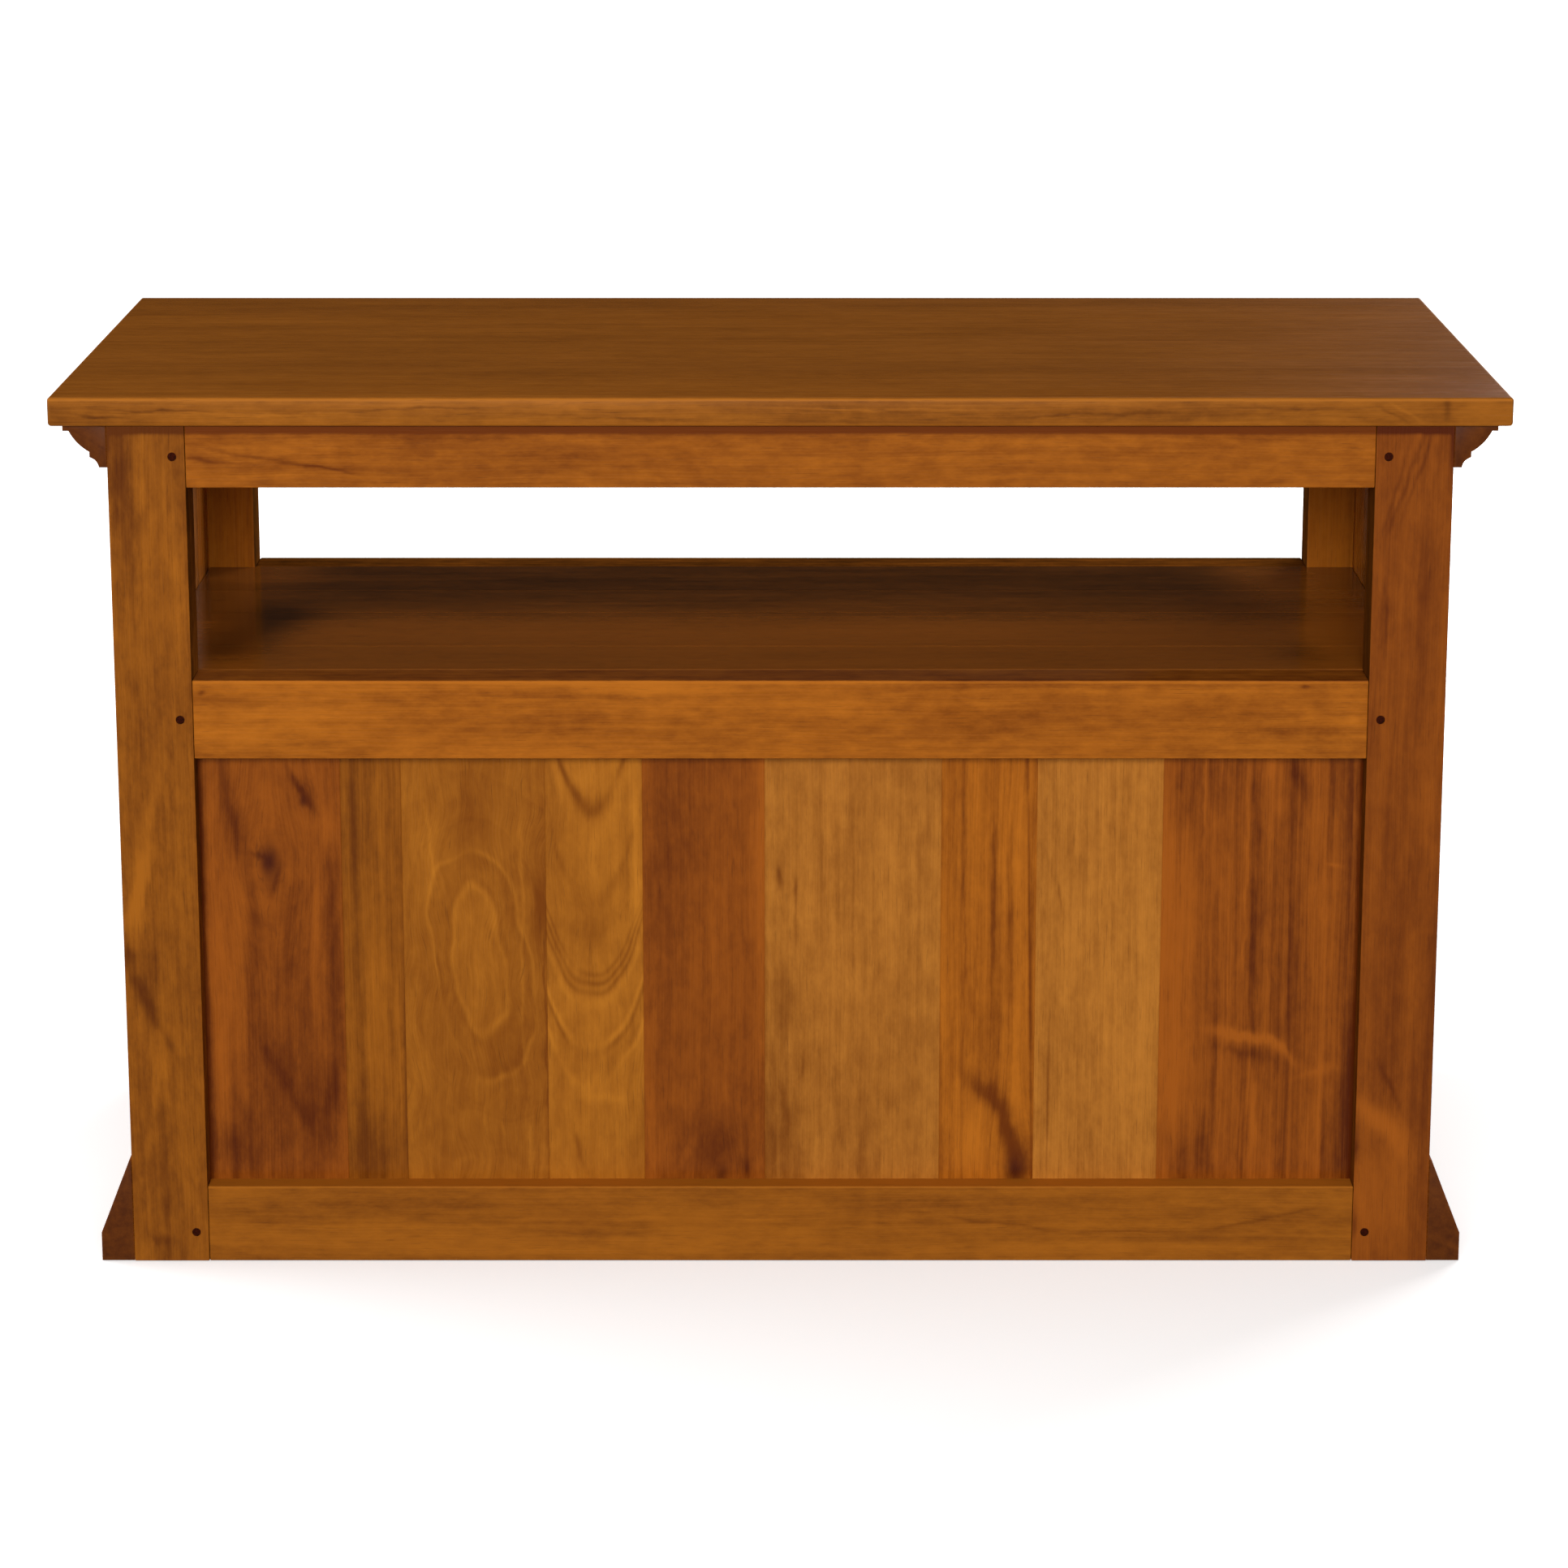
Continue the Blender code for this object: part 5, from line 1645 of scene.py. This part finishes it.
@dataclass
class Mouldings:
    """Cornice under the top and skirting round the base, mitred at the front corners.

    The toe is the height of the skirting's upright part and the lip its width at the top. The cornice's
    fillet is a way in and a way down, its step a way out from the carcass and two ways down, and its foot
    a way out.
    """

    timber: Timber
    mitre_gap: float = 0.00015
    spare: float = 0.02
    end_ease: float = 0.0007
    smooth: float = 28.0
    toe: float = 0.025
    lip: float = 0.002
    fillet: Point2 = (0.005, 0.0045)
    step: Point3 = (0.0145, 0.022, 0.0265)
    foot: float = 0.007
    bulge: float = 0.0018
    seeds: dict[str, int] = field(default_factory=lambda: {
        "cornice_front": 60, "cornice_left": 82, "cornice_right": 83,
        "skirting_front": 61, "skirting_left": 83, "skirting_right": 84,
    })

    def outline(self, kind: str) -> list[Point2]:
        """Give a moulding's outline, out from the carcass and up from the floor.

        Args:
            kind: Cornice or skirting.

        Returns:
            The points of the outline.
        """
        block = Block.of(f"{kind}_front")
        out, low, high = block.size[1] + GAP, block.low[2], block.high[2]
        if kind == "skirting":
            return [(GAP, low), (out, low), (out, low + self.toe), (self.lip, high), (GAP, high)]
        fillet = (out - self.fillet[0], high - self.fillet[1])
        above, below = ((self.step[0], high - down) for down in self.step[1:])
        upper = [(GAP, high), (out, high), (out, fillet[1]), fillet, *bowed(fillet, above, self.bulge)]
        return [*upper, below, *bowed(below, (self.foot, low), -self.bulge), (GAP, low)]

    def build(self) -> Iterator[Piece]:
        """Make the front and the two side lengths of both mouldings.

        Returns:
            The pieces, one after the other.
        """
        post = Block.of("post_front_right")
        corner = (post.high[0], post.low[1])
        for kind in ("cornice", "skirting"):
            outline = self.outline(kind)
            yield self._front(kind, corner, outline)
            for side, sign in SIDES:
                yield self._side(f"{kind}_{side}", sign, corner, outline)

    def _front(self, kind: str, corner: Point2, outline: Sequence[Point2]) -> Piece:
        """Make the front length, mitred at both ends.

        Args:
            kind: Cornice or skirting.
            corner: X and Y of the carcass's right front corner.
            outline: The moulding's outline.

        Returns:
            The piece.
        """
        name = f"{kind}_front"
        reach = Block.of(name).high[0] + self.spare
        bench = Bench()
        bench.run([(-reach, corner[1] - out, up) for out, up in outline], (2 * reach, 0.0, 0.0))
        for sign in (-1, 1):
            bench.mitre((sign * (corner[0] - self.mitre_gap), corner[1], 0.0), (sign, 1.0, 0.0))
        return self._length(name, bench, WARM, Lay.LENGTHWISE_BACK)

    def _side(self, name: str, sign: int, corner: Point2, outline: Sequence[Point2]) -> Piece:
        """Make one side length, sawn square and eased at the back.

        Args:
            name: Name of the node.
            sign: Side of the X axis.
            corner: X and Y of the carcass's right front corner.
            outline: The moulding's outline.

        Returns:
            The piece.
        """
        block = Block.of(name)
        start, end = block.low[1] - self.spare, block.high[1]
        bench = Bench()
        bench.run([(sign * (corner[0] + out), start, up) for out, up in outline], (0.0, end - start, 0.0))
        bench.mitre((sign * corner[0], corner[1] + self.mitre_gap, 0.0), (-sign, -1.0, 0.0))
        edges = bench.mesh.edges
        back = [edge for edge in edges if all(vert.co.y > end - SAME_FACE for vert in edge.verts)]
        bench.ease(back, self.end_ease, 2)
        return self._length(name, bench, (Stain.RUSSET,), Lay.LENGTHWISE_SIDE)

    def _length(self, name: str, bench: Bench, stains: Sequence[Stain], lay: Lay) -> Piece:
        """Finish a length of moulding.

        Args:
            name: Name of the node.
            bench: The length's mesh.
            stains: Stains to choose from.
            lay: How it lies.

        Returns:
            The piece.
        """
        wood = self.timber.wood(name, picked(self.seeds[name], stains), lay, Block.of(name))
        return bench.piece(f"{name}_length", [wood], Body.CARCASS, Slot.WOOD, [name], smooth=self.smooth)


@dataclass
class Sides:
    """Rails and upright boarded panels of both sides."""

    timber: Timber
    boards: int = 5
    panel_shade: float = -0.04

    def build(self) -> Iterator[Piece]:
        """Make the rails and the panels.

        Returns:
            The pieces, one after the other.
        """
        back, front = Block.of("post_back_left").low[1], Block.of("post_front_left").high[1]
        for number, (side, _) in enumerate(SIDES):
            for level, seed in (("top", 83), ("bottom", 86)):
                name = f"rail_side_{level}_{side}"
                block = Block.of(name).between("y", front + GAP, back - GAP)
                figure = picked(seed + number * 2, WARM)
                yield self.timber.board(name, block, figure, Lay.LENGTHWISE_SIDE)
            name = f"panel_side_{side}"
            low, high = Block.of(f"rail_side_bottom_{side}").high[2], Block.of(f"rail_side_top_{side}").low[2]
            block = Block.of(name).between("y", front - LAP, back + LAP).between("z", low - LAP, high + LAP)
            seams = even_seams(front, back, self.boards, 90 + number)
            seeds = range(100 + 10 * number, 100 + 10 * number + self.boards)
            figures = [picked(seed, WARM, self.panel_shade) for seed in seeds]
            yield self.timber.panel(name, block, "y", seams, figures, Lay.UPRIGHT_SIDE)


@dataclass
class Inside:
    """Niche shelf and cupboard floor of lengthwise boards, with painted light and shade.

    The painted light and shade's places across are Y in the frame, from the back edge of the boards.
    """

    timber: Timber
    boards: int = 4
    ease: float = 0.0006
    # Painted light towards the open back, a painted shade band at the far side, painted reflections of the
    # posts at both ends and painted shadows of the back posts; the cupboard floor gets the same.
    painted_light_and_shade: tuple[Patch, ...] = marks(
        (0.0, 0.0, 0.1, ENDLESS, 0.46), (-0.14, 0.0, 0.075, ENDLESS, 0.5), (-0.33, 0.0, 0.11, ENDLESS, -0.09),
        (-0.1, -0.33, 0.09, 0.06, 0.12), (-0.11, 0.47, 0.085, 0.04, -0.6), (-0.19, 0.44, 0.06, 0.035, -0.35),
        (-0.4, 0.47, 0.09, 0.05, 0.34), (-0.35, -0.45, 0.09, 0.045, 0.54), (-0.26, -0.51, 0.2, 0.04, 0.24),
        (-0.063, -0.445, 0.04, 0.022, -0.28),
    )

    def build(self) -> Iterator[Piece]:
        """Make the shelf and the floor.

        Returns:
            The pieces, one after the other.
        """
        back, front = Block.of("rail_back_middle"), Block.of("rail_front_middle")
        for number, name in enumerate(("niche_shelf", "cupboard_floor")):
            block = Block.of(name).between("y", front.high[1] + GAP, back.low[1] - GAP)
            seams = even_seams(block.low[1], block.high[1], self.boards, 120 + number)
            figures = []
            for board, part in enumerate(block.parted("y", seams)):
                edge = block.high[1] - part.centre[1]
                stripes = tuple(replace(one, across=one.across + edge) for one in self.painted_light_and_shade)
                # Each board starts dark, as painted shade, and the stripes lighten it towards the open back.
                figures.append(Figure(
                    Stain.TOBACCO, 130.0 + 10 * number + 1.7 * board, pith_across=0.04 - 0.03 * board,
                    pith_depth=0.06, rings=80.0, bands=0.08, lines=0.04, streaks=0.16, mottle=0.16,
                    shade=0.04 * (board % 2) - 0.25, rough=0.14, specular=0.3, stripes=stripes,
                ))
            yield self.timber.panel(name, block, "y", seams, figures, Lay.FLAT, ease=self.ease)


@dataclass
class FrontFrame:
    """Front posts with hinge recesses and the front rails.

    The middle rail's edge is the width and the lift of a painted shade line along its top, at the far edge of
    the niche shelf.
    """

    timber: Timber
    # Painted light lifts the front posts where the niche shades them; painted shade darkens their inner
    # sides.
    post_painted_light: float = 0.28
    inner_painted_shade: float = -0.6
    middle_shade: float = 0.18
    middle_edge: Point2 = (0.0008, -0.4)

    def build(self) -> Iterator[Piece]:
        """Make the posts and the rails.

        Returns:
            The pieces, one after the other.
        """
        for number, (side, sign) in enumerate(SIDES):
            name = f"post_front_{side}"
            block = Block.of(name)
            bench = Bench()
            bench.board(block)
            recess(bench, side, "post_leaf", block.high[0] if sign < 0 else block.low[0], sign)
            # The front posts are stained lighter as painted light for where the niche shades them.
            figure = picked(150 + number, (Stain.AMBER,), self.post_painted_light)
            yield self.timber.post(name, bench, block, figure, self.inner_painted_shade)
        left, right = Block.of("post_front_left"), Block.of("post_front_right")
        for number, level in enumerate(LEVELS):
            name = f"rail_front_{level}"
            block = Block.of(name).between("x", left.high[0] + GAP, right.low[0] - GAP)
            figure = picked(155 + number, WARM)
            if level == "middle":
                wide, lift = self.middle_edge
                # A darker matte stain, with a painted shade line along its top edge.
                dull = replace(figure, stain=Stain.TOBACCO, shade=self.middle_shade, rough=0.5, specular=0.0)
                figure = dull.striped((block.size[2] / 2, 0.0, wide, ENDLESS, lift))
            yield self.timber.board(name, block, figure, Lay.LENGTHWISE_BACK)


def recess(bench: Bench, side: str, leaf: str, face: float, sign: int, thick: float = 0.0012) -> None:
    """Let both hinge leaves of a side into the face that they are screwed to.

    Args:
        bench: Board under construction.
        side: Left or right.
        leaf: Kind of leaf.
        face: X of the face.
        sign: Way into the wood along X.
        thick: Thickness of the leaf.
    """
    front = Block.of(f"door_{side}_hinge_stile").low[1]
    for level in ("upper", "lower"):
        plate = Block.of(f"hinge_{side}_{level}_{leaf}")
        spans = {"y": (front + EASE, plate.high[1] + GAP), "z": (plate.low[2] - GAP, plate.high[2] + GAP)}
        bench.pocket("x", face, spans, sign * (thick + GAP))


@dataclass
class Door:
    """One framed door with its boarded panel and turned knob.

    The knob's neck, waist and collar are radii and heights over the door's face.
    """

    timber: Timber
    side: str
    sign: int
    body: Body
    seed: int
    boards: int = 4
    knob_steps: int = 64
    knob_smooth: float = 40.0
    dome: float = 0.008
    neck: Point2 = (0.0075, 0.0135)
    waist: Point2 = (0.0082, 0.0052)
    collar: tuple[Point2, ...] = (
        (0.0104, 0.0040), (0.011, 0.0030), (0.011, 0.0010), (0.0106, GAP), (0.0, GAP),
    )

    def build(self) -> Iterator[Piece]:
        """Make the stiles, the rails, the panel and the knob.

        Returns:
            The pieces, one after the other.
        """
        prefix = f"door_{self.side}"
        hinge, meeting = Block.of(f"{prefix}_hinge_stile"), Block.of(f"{prefix}_meeting_stile")
        yield self._hinge_stile(f"{prefix}_hinge_stile", hinge)
        figure = picked(self.seed + 1, WARM)
        yield self.timber.board(f"{prefix}_meeting_stile", meeting, figure, Lay.UPRIGHT_BACK, self.body)
        left, right = sorted((hinge, meeting), key=lambda block: block.low[0])
        ends = (left.high[0] + GAP, right.low[0] - GAP)
        rails = {level: Block.of(f"{prefix}_{level}_rail").between("x", *ends) for level in ("bottom", "top")}
        for number, (level, block) in enumerate(rails.items()):
            figure = picked(self.seed + 2 + number, WARM)
            yield self.timber.board(f"{prefix}_{level}_rail", block, figure, Lay.LENGTHWISE_BACK, self.body)
        block = Block.of(f"{prefix}_panel").between("x", ends[0] - LAP, ends[1] + LAP)
        block = block.between("z", rails["bottom"].high[2] - LAP, rails["top"].low[2] + LAP)
        seams = even_seams(*ends, self.boards, self.seed)
        figures = [picked(self.seed + 5 + board, WARM) for board in range(self.boards)]
        yield self.timber.panel(f"{prefix}_panel", block, "x", seams, figures, Lay.UPRIGHT_BACK, self.body)
        yield self._knob(f"{prefix}_knob", meeting.low[1])

    def _hinge_stile(self, name: str, block: Block) -> Piece:
        """Make the stile that the hinge leaves are let into.

        Args:
            name: Name of the node.
            block: Its outside.

        Returns:
            The piece.
        """
        bench = Bench()
        bench.board(block)
        outer = block.low[0] if self.sign < 0 else block.high[0]
        recess(bench, self.side, "door_leaf", outer, -self.sign)
        wood = self.timber.wood(name, picked(self.seed, WARM), Lay.UPRIGHT_BACK, block)
        return bench.piece(f"{name}_board", [wood], self.body, Slot.WOOD, [name])

    def _knob(self, name: str, face: float) -> Piece:
        """Turn the knob, with a collar, a hollow neck and a domed head.

        Args:
            name: Name of the node.
            face: Y of the door's face.

        Returns:
            The piece.
        """
        block = Block.of(name)
        radius, length = block.size[0] / 2, face - block.low[1]
        head = length - self.dome
        profile = [(0.0, length)]
        for step in range(1, 13):
            angle = math.pi / 2 * step / 12
            profile.append((radius * math.sin(angle), head + self.dome * math.cos(angle)))
        profile += bowed((radius, head), self.neck, 0.002, 10)
        profile += bowed(self.neck, self.waist, -0.0006, 6)
        bench = Bench()
        centre = (block.centre[0], face, block.centre[2])
        bench.turn([*profile, *self.collar], centre, "y", -1, self.knob_steps)
        figure = picked(self.seed + 9, (Stain.CARAMEL, Stain.RUSSET))
        wood = self.timber.wood(name, figure, Lay.LENGTHWISE_SIDE, block)
        return bench.piece(f"{name}_turned", [wood], self.body, Slot.WOOD, [name], smooth=self.knob_smooth)


@dataclass
class Hardware:
    """Brass hinges with their screws, and the magnetic catch with its plates.

    The screws stand behind the stile's face by the inset, and the stagger moves each up and to the back.
    """

    brass: Metal = Metal((150, 104, 44), (206, 164, 88), 0.26, 0.42)
    steel: Metal = Metal((132, 132, 134), (184, 184, 188), 0.24, 0.4)
    screw_radius: float = 0.0026
    screw_rise: float = 0.00025
    screw_depth: float = 0.0009
    screw_steps: int = 24
    screw_smooth: float = 40.0
    slot_half: float = 0.00035
    slot_depth: float = 0.0006
    inset: float = 0.0095
    stagger: tuple[Point2, ...] = ((-0.016, 0.0022), (0.0, -0.0028), (0.016, 0.0022))

    def build(self) -> Iterator[Piece]:
        """Dress the nodes and make the screws.

        Returns:
            The pieces, one after the other.
        """
        brass, steel = self.brass.material("satin_brass"), self.steel.material("plated_steel")
        dress("catch_magnet", MouldedPlastic().material("catch_shell_plastic"))
        for side, sign in SIDES:
            dress(f"catch_plate_{side}", steel)
            post, stile = Block.of(f"post_front_{side}"), Block.of(f"door_{side}_hinge_stile")
            door = Body(f"door_{side}")
            leaves = (("post_leaf", post, -sign, Body.CARCASS), ("door_leaf", stile, sign, door))
            for level in ("upper", "lower"):
                hinge = f"hinge_{side}_{level}"
                dress(f"{hinge}_pin", brass)
                for leaf, wood, towards, body in leaves:
                    dress(f"{hinge}_{leaf}", brass)
                    screws = self._screws(Block.of(f"{hinge}_{leaf}").centre[2], wood, towards)
                    name = f"{hinge}_{leaf}_screws"
                    yield screws.piece(name, [brass], body, Slot.BRASS, smooth=self.screw_smooth)

    def _screws(self, height: float, wood: Block, towards: int) -> Bench:
        """Make the three slotted screws of a hinge leaf.

        Args:
            height: Z of the leaf's middle.
            wood: Outside of the piece that the leaf is screwed to.
            towards: Way that the leaf looks along X.

        Returns:
            The screws' mesh.
        """
        bench = Bench()
        face = wood.low[0] if towards < 0 else wood.high[0]
        for up, aside in self.stagger:
            data = self._screw((face, wood.low[1] + self.inset + aside, height + up), towards)
            bench.mesh.from_mesh(data)
            bpy.data.meshes.remove(data)
        return bench

    def _screw(self, centre: Point3, towards: int) -> bpy.types.Mesh:
        """Turn one screw's head and sink its slot.

        Args:
            centre: Middle of the head, on the leaf's face.
            towards: Way that the head looks along X.

        Returns:
            The head's mesh.
        """
        radius, rise, foot = self.screw_radius, self.screw_rise, -self.screw_depth
        profile = [(0.0, rise), (radius * 0.6, rise * 0.9), (radius, rise * 0.4), (radius, foot), (0.0, foot)]
        head = Bench()
        head.turn(profile, centre, "x", towards, self.screw_steps)
        for offset in (-self.slot_half, self.slot_half):
            head.cut("y", centre[1] + offset)
        near = self.slot_half * 0.99
        outside = [one for one in head.mesh.faces if one.normal.x * towards > 0.5]
        top = [one for one in outside if abs(one.calc_center_median().y - centre[1]) < near]
        head.push(top, on_axis("x", -towards * self.slot_depth))
        data = bpy.data.meshes.new("screw_head")
        head.mesh.to_mesh(data)
        head.mesh.free()
        return data


@dataclass(frozen=True)
class Lamp:
    """A soft lamp: where it hangs, what it points at, the sides of its face and its power in watts."""

    name: str
    place: Point3
    target: Point3
    size: Point2
    power: float

    def hang(self) -> None:
        """Make the lamp, which the camera doesn't see."""
        data = bpy.data.lights.new(self.name, "AREA")
        data.shape = "RECTANGLE"
        data.size, data.size_y = self.size
        data.energy = self.power
        lamp = bpy.data.objects.new(self.name, data)
        lamp.location = self.place
        lamp.visible_camera = False
        way = Vector(self.target) - Vector(self.place)
        lamp.rotation_euler = way.to_track_quat("-Z", "Y").to_euler()
        bpy.context.scene.collection.objects.link(lamp)


@dataclass
class Studio:
    """Pale floor, soft light and the camera behind the cabinet."""

    camera_place: Point3 = (-0.003, 3.86, 1.372)
    camera_tilt: float = 76.8
    sensor: float = 36.0
    lens: float = 102.06
    shift: float = -0.08
    lamps: tuple[Lamp, ...] = (
        Lamp("key", (0.3, 5.1, 2.1), (0.0, 0.2, 0.35), (2.8, 1.6), 203.0),
        Lamp("front_fill", (-3.0, -3.8, 2.2), (0.0, -0.2, 0.35), (2.6, 1.8), 190.0),
        Lamp("side_fill", (4.0, -0.7, 2.0), (0.3, 0.0, 0.35), (2.0, 1.6), 90.0),
    )
    horizon_light: float = 0.32
    zenith_light: float = 0.17
    backdrop_top: float = 0.05
    backdrop_fade: float = 0.06
    flag_place: Point3 = (0.0, -6.3, 2.6)
    flag_size: Point2 = (12.0, 5.4)
    flag_grey: float = 0.02
    floor_place: Point3 = (0.0, 0.0, -0.0005)
    floor_size: Point2 = (60.0, 60.0)
    floor_grey: float = 0.2
    floor_pale: float = 0.90
    floor_glow: float = 0.42
    floor_near: float = 0.8
    floor_far: float = 2.2

    def build(self) -> None:
        """Make the camera, the lamps, the world and the floor."""
        scene = bpy.context.scene
        scene.view_settings.view_transform = "Standard"
        self._camera(scene)
        for lamp in self.lamps:
            lamp.hang()
        self._flag()
        self._world(scene)
        self._plane("studio_floor", self._floor_finish(), self.floor_size, self.floor_place, ())

    def _camera(self, scene: bpy.types.Scene) -> None:
        """Set up the camera at the photograph's place.

        Args:
            scene: The scene.
        """
        data = bpy.data.cameras.new("camera")
        data.sensor_width = self.sensor
        data.lens = self.lens
        data.shift_y = self.shift
        camera = bpy.data.objects.new("camera", data)
        camera.location = self.camera_place
        camera.rotation_euler = (math.radians(self.camera_tilt), 0.0, math.pi)
        scene.collection.objects.link(camera)
        scene.camera = camera

    def _world(self, scene: bpy.types.Scene) -> None:
        """Make a world that lights softly, less from above, and shows as a white backdrop.

        Args:
            scene: The scene.
        """
        world = bpy.data.worlds.new("studio")
        sheet = NodeSheet.blank(world)
        path = sheet.add("ShaderNodeLightPath").outputs
        up = sheet.parts(sheet.add("ShaderNodeTexCoord").outputs["Generated"])[2]
        high = sheet.ramp(up, self.backdrop_top, self.backdrop_top + self.backdrop_fade)
        mirrored = sheet.times(path["Is Glossy Ray"], sheet.math("SUBTRACT", 1.0, high))
        seen = sheet.math("MAXIMUM", path["Is Camera Ray"], path["Is Transmission Ray"])
        seen = sheet.math("MAXIMUM", seen, mirrored)
        fall = sheet.times(sheet.math("MAXIMUM", up, 0.0), self.zenith_light - self.horizon_light)
        strength = sheet.math("ADD", fall, self.horizon_light)
        soft = sheet.add("ShaderNodeBackground", {"Color": grey(1.0), "Strength": strength})
        white = sheet.add("ShaderNodeBackground", {"Color": grey(1.0)})
        sheet.add("ShaderNodeOutputWorld", {"Surface": sheet.mix(seen, soft, white).outputs[0]})
        scene.world = world

    def _flag(self) -> None:
        """Hang a dark cloth far in front of the cabinet, so that the top doesn't mirror the backdrop."""
        finish = Finish("studio_flag")
        finish.paint({"Base Color": grey(self.flag_grey), "Specular IOR Level": 0.0})
        hidden = ("visible_camera", "visible_diffuse", "visible_shadow")
        self._plane("studio_flag", finish.material, self.flag_size, self.flag_place, hidden, ROUND_Y)

    def _floor_finish(self) -> Material:
        """Make the floor's finish, which looks white and keeps a soft shadow.

        Returns:
            The material.
        """
        material = bpy.data.materials.new("studio_floor")
        sheet = NodeSheet.blank(material)
        path = sheet.add("ShaderNodeLightPath").outputs
        place = sheet.add("ShaderNodeTexCoord").outputs["Object"]
        away = sheet.add("ShaderNodeVectorMath", {0: place}, operation="LENGTH").outputs["Value"]
        rise = sheet.ramp(away, self.floor_near, self.floor_far)
        strength = sheet.math("MULTIPLY_ADD", rise, 1.0 - self.floor_glow, self.floor_glow)
        glow = sheet.add("ShaderNodeEmission", {"Strength": strength})
        shaded = sheet.add("ShaderNodeBsdfDiffuse", {"Color": grey(self.floor_pale)})
        lit = sheet.add("ShaderNodeAddShader", {0: shaded.outputs[0], 1: glow.outputs[0]})
        plain = sheet.add("ShaderNodeBsdfDiffuse", {"Color": grey(self.floor_grey)})
        white = sheet.add("ShaderNodeEmission", {"Strength": 1.0})
        mirrored = sheet.math("MAXIMUM", path["Is Glossy Ray"], path["Is Transmission Ray"])
        mixed = sheet.mix(path["Is Camera Ray"], sheet.mix(mirrored, plain, white), lit)
        sheet.add("ShaderNodeOutputMaterial", {"Surface": mixed.outputs[0]})
        return material

    def _plane(
        self, name: str, material: Material, size: Point2, place: Point3, hidden: Sequence[str],
        turn: Matrix = Matrix.Identity(3),
    ) -> None:
        """Make a flat piece of the stage.

        Args:
            name: Name of the piece.
            material: Its finish.
            size: Its sides before it is turned.
            place: Its middle.
            hidden: Names of the ray visibilities that it lacks.
            turn: How it is turned.
        """
        mesh = bmesh.new()
        bmesh.ops.create_grid(mesh, x_segments=1, y_segments=1, size=0.5)
        bmesh.ops.scale(mesh, vec=(*size, 1.0), verts=mesh.verts)
        bmesh.ops.rotate(mesh, verts=mesh.verts, matrix=turn, cent=ORIGIN)
        bmesh.ops.translate(mesh, vec=place, verts=mesh.verts)
        data = bpy.data.meshes.new(name)
        mesh.to_mesh(data)
        mesh.free()
        data.materials.append(material)
        made = bpy.data.objects.new(name, data)
        for visibility in hidden:
            setattr(made, visibility, False)
        bpy.context.scene.collection.objects.link(made)
        made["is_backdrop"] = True


def main() -> None:
    """Build the studio and the cabinet, report each piece and work out both boxes."""
    logging.basicConfig(level=logging.INFO, format="%(message)s")
    Studio().build()
    timber = Timber(Grain())
    assemblies = (
        BackFrame(timber), BackPanel(timber), Top(timber), Mouldings(timber), Sides(timber), Inside(timber),
        FrontFrame(timber), Door(timber, "left", -1, Body.DOOR_LEFT, 170),
        Door(timber, "right", 1, Body.DOOR_RIGHT, 190), Hardware(),
    )
    for assembly in assemblies:
        for piece in assembly.build():
            LOG.info("%s: %s, %d faces", type(assembly).__name__, piece.name, len(piece.data.polygons))
    boxes = {"cad": CAD_BOX, "visual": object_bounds()}
    {name: [list(corner) for corner in box] for name, box in boxes.items()}


if __name__ == "__main__":
    main()
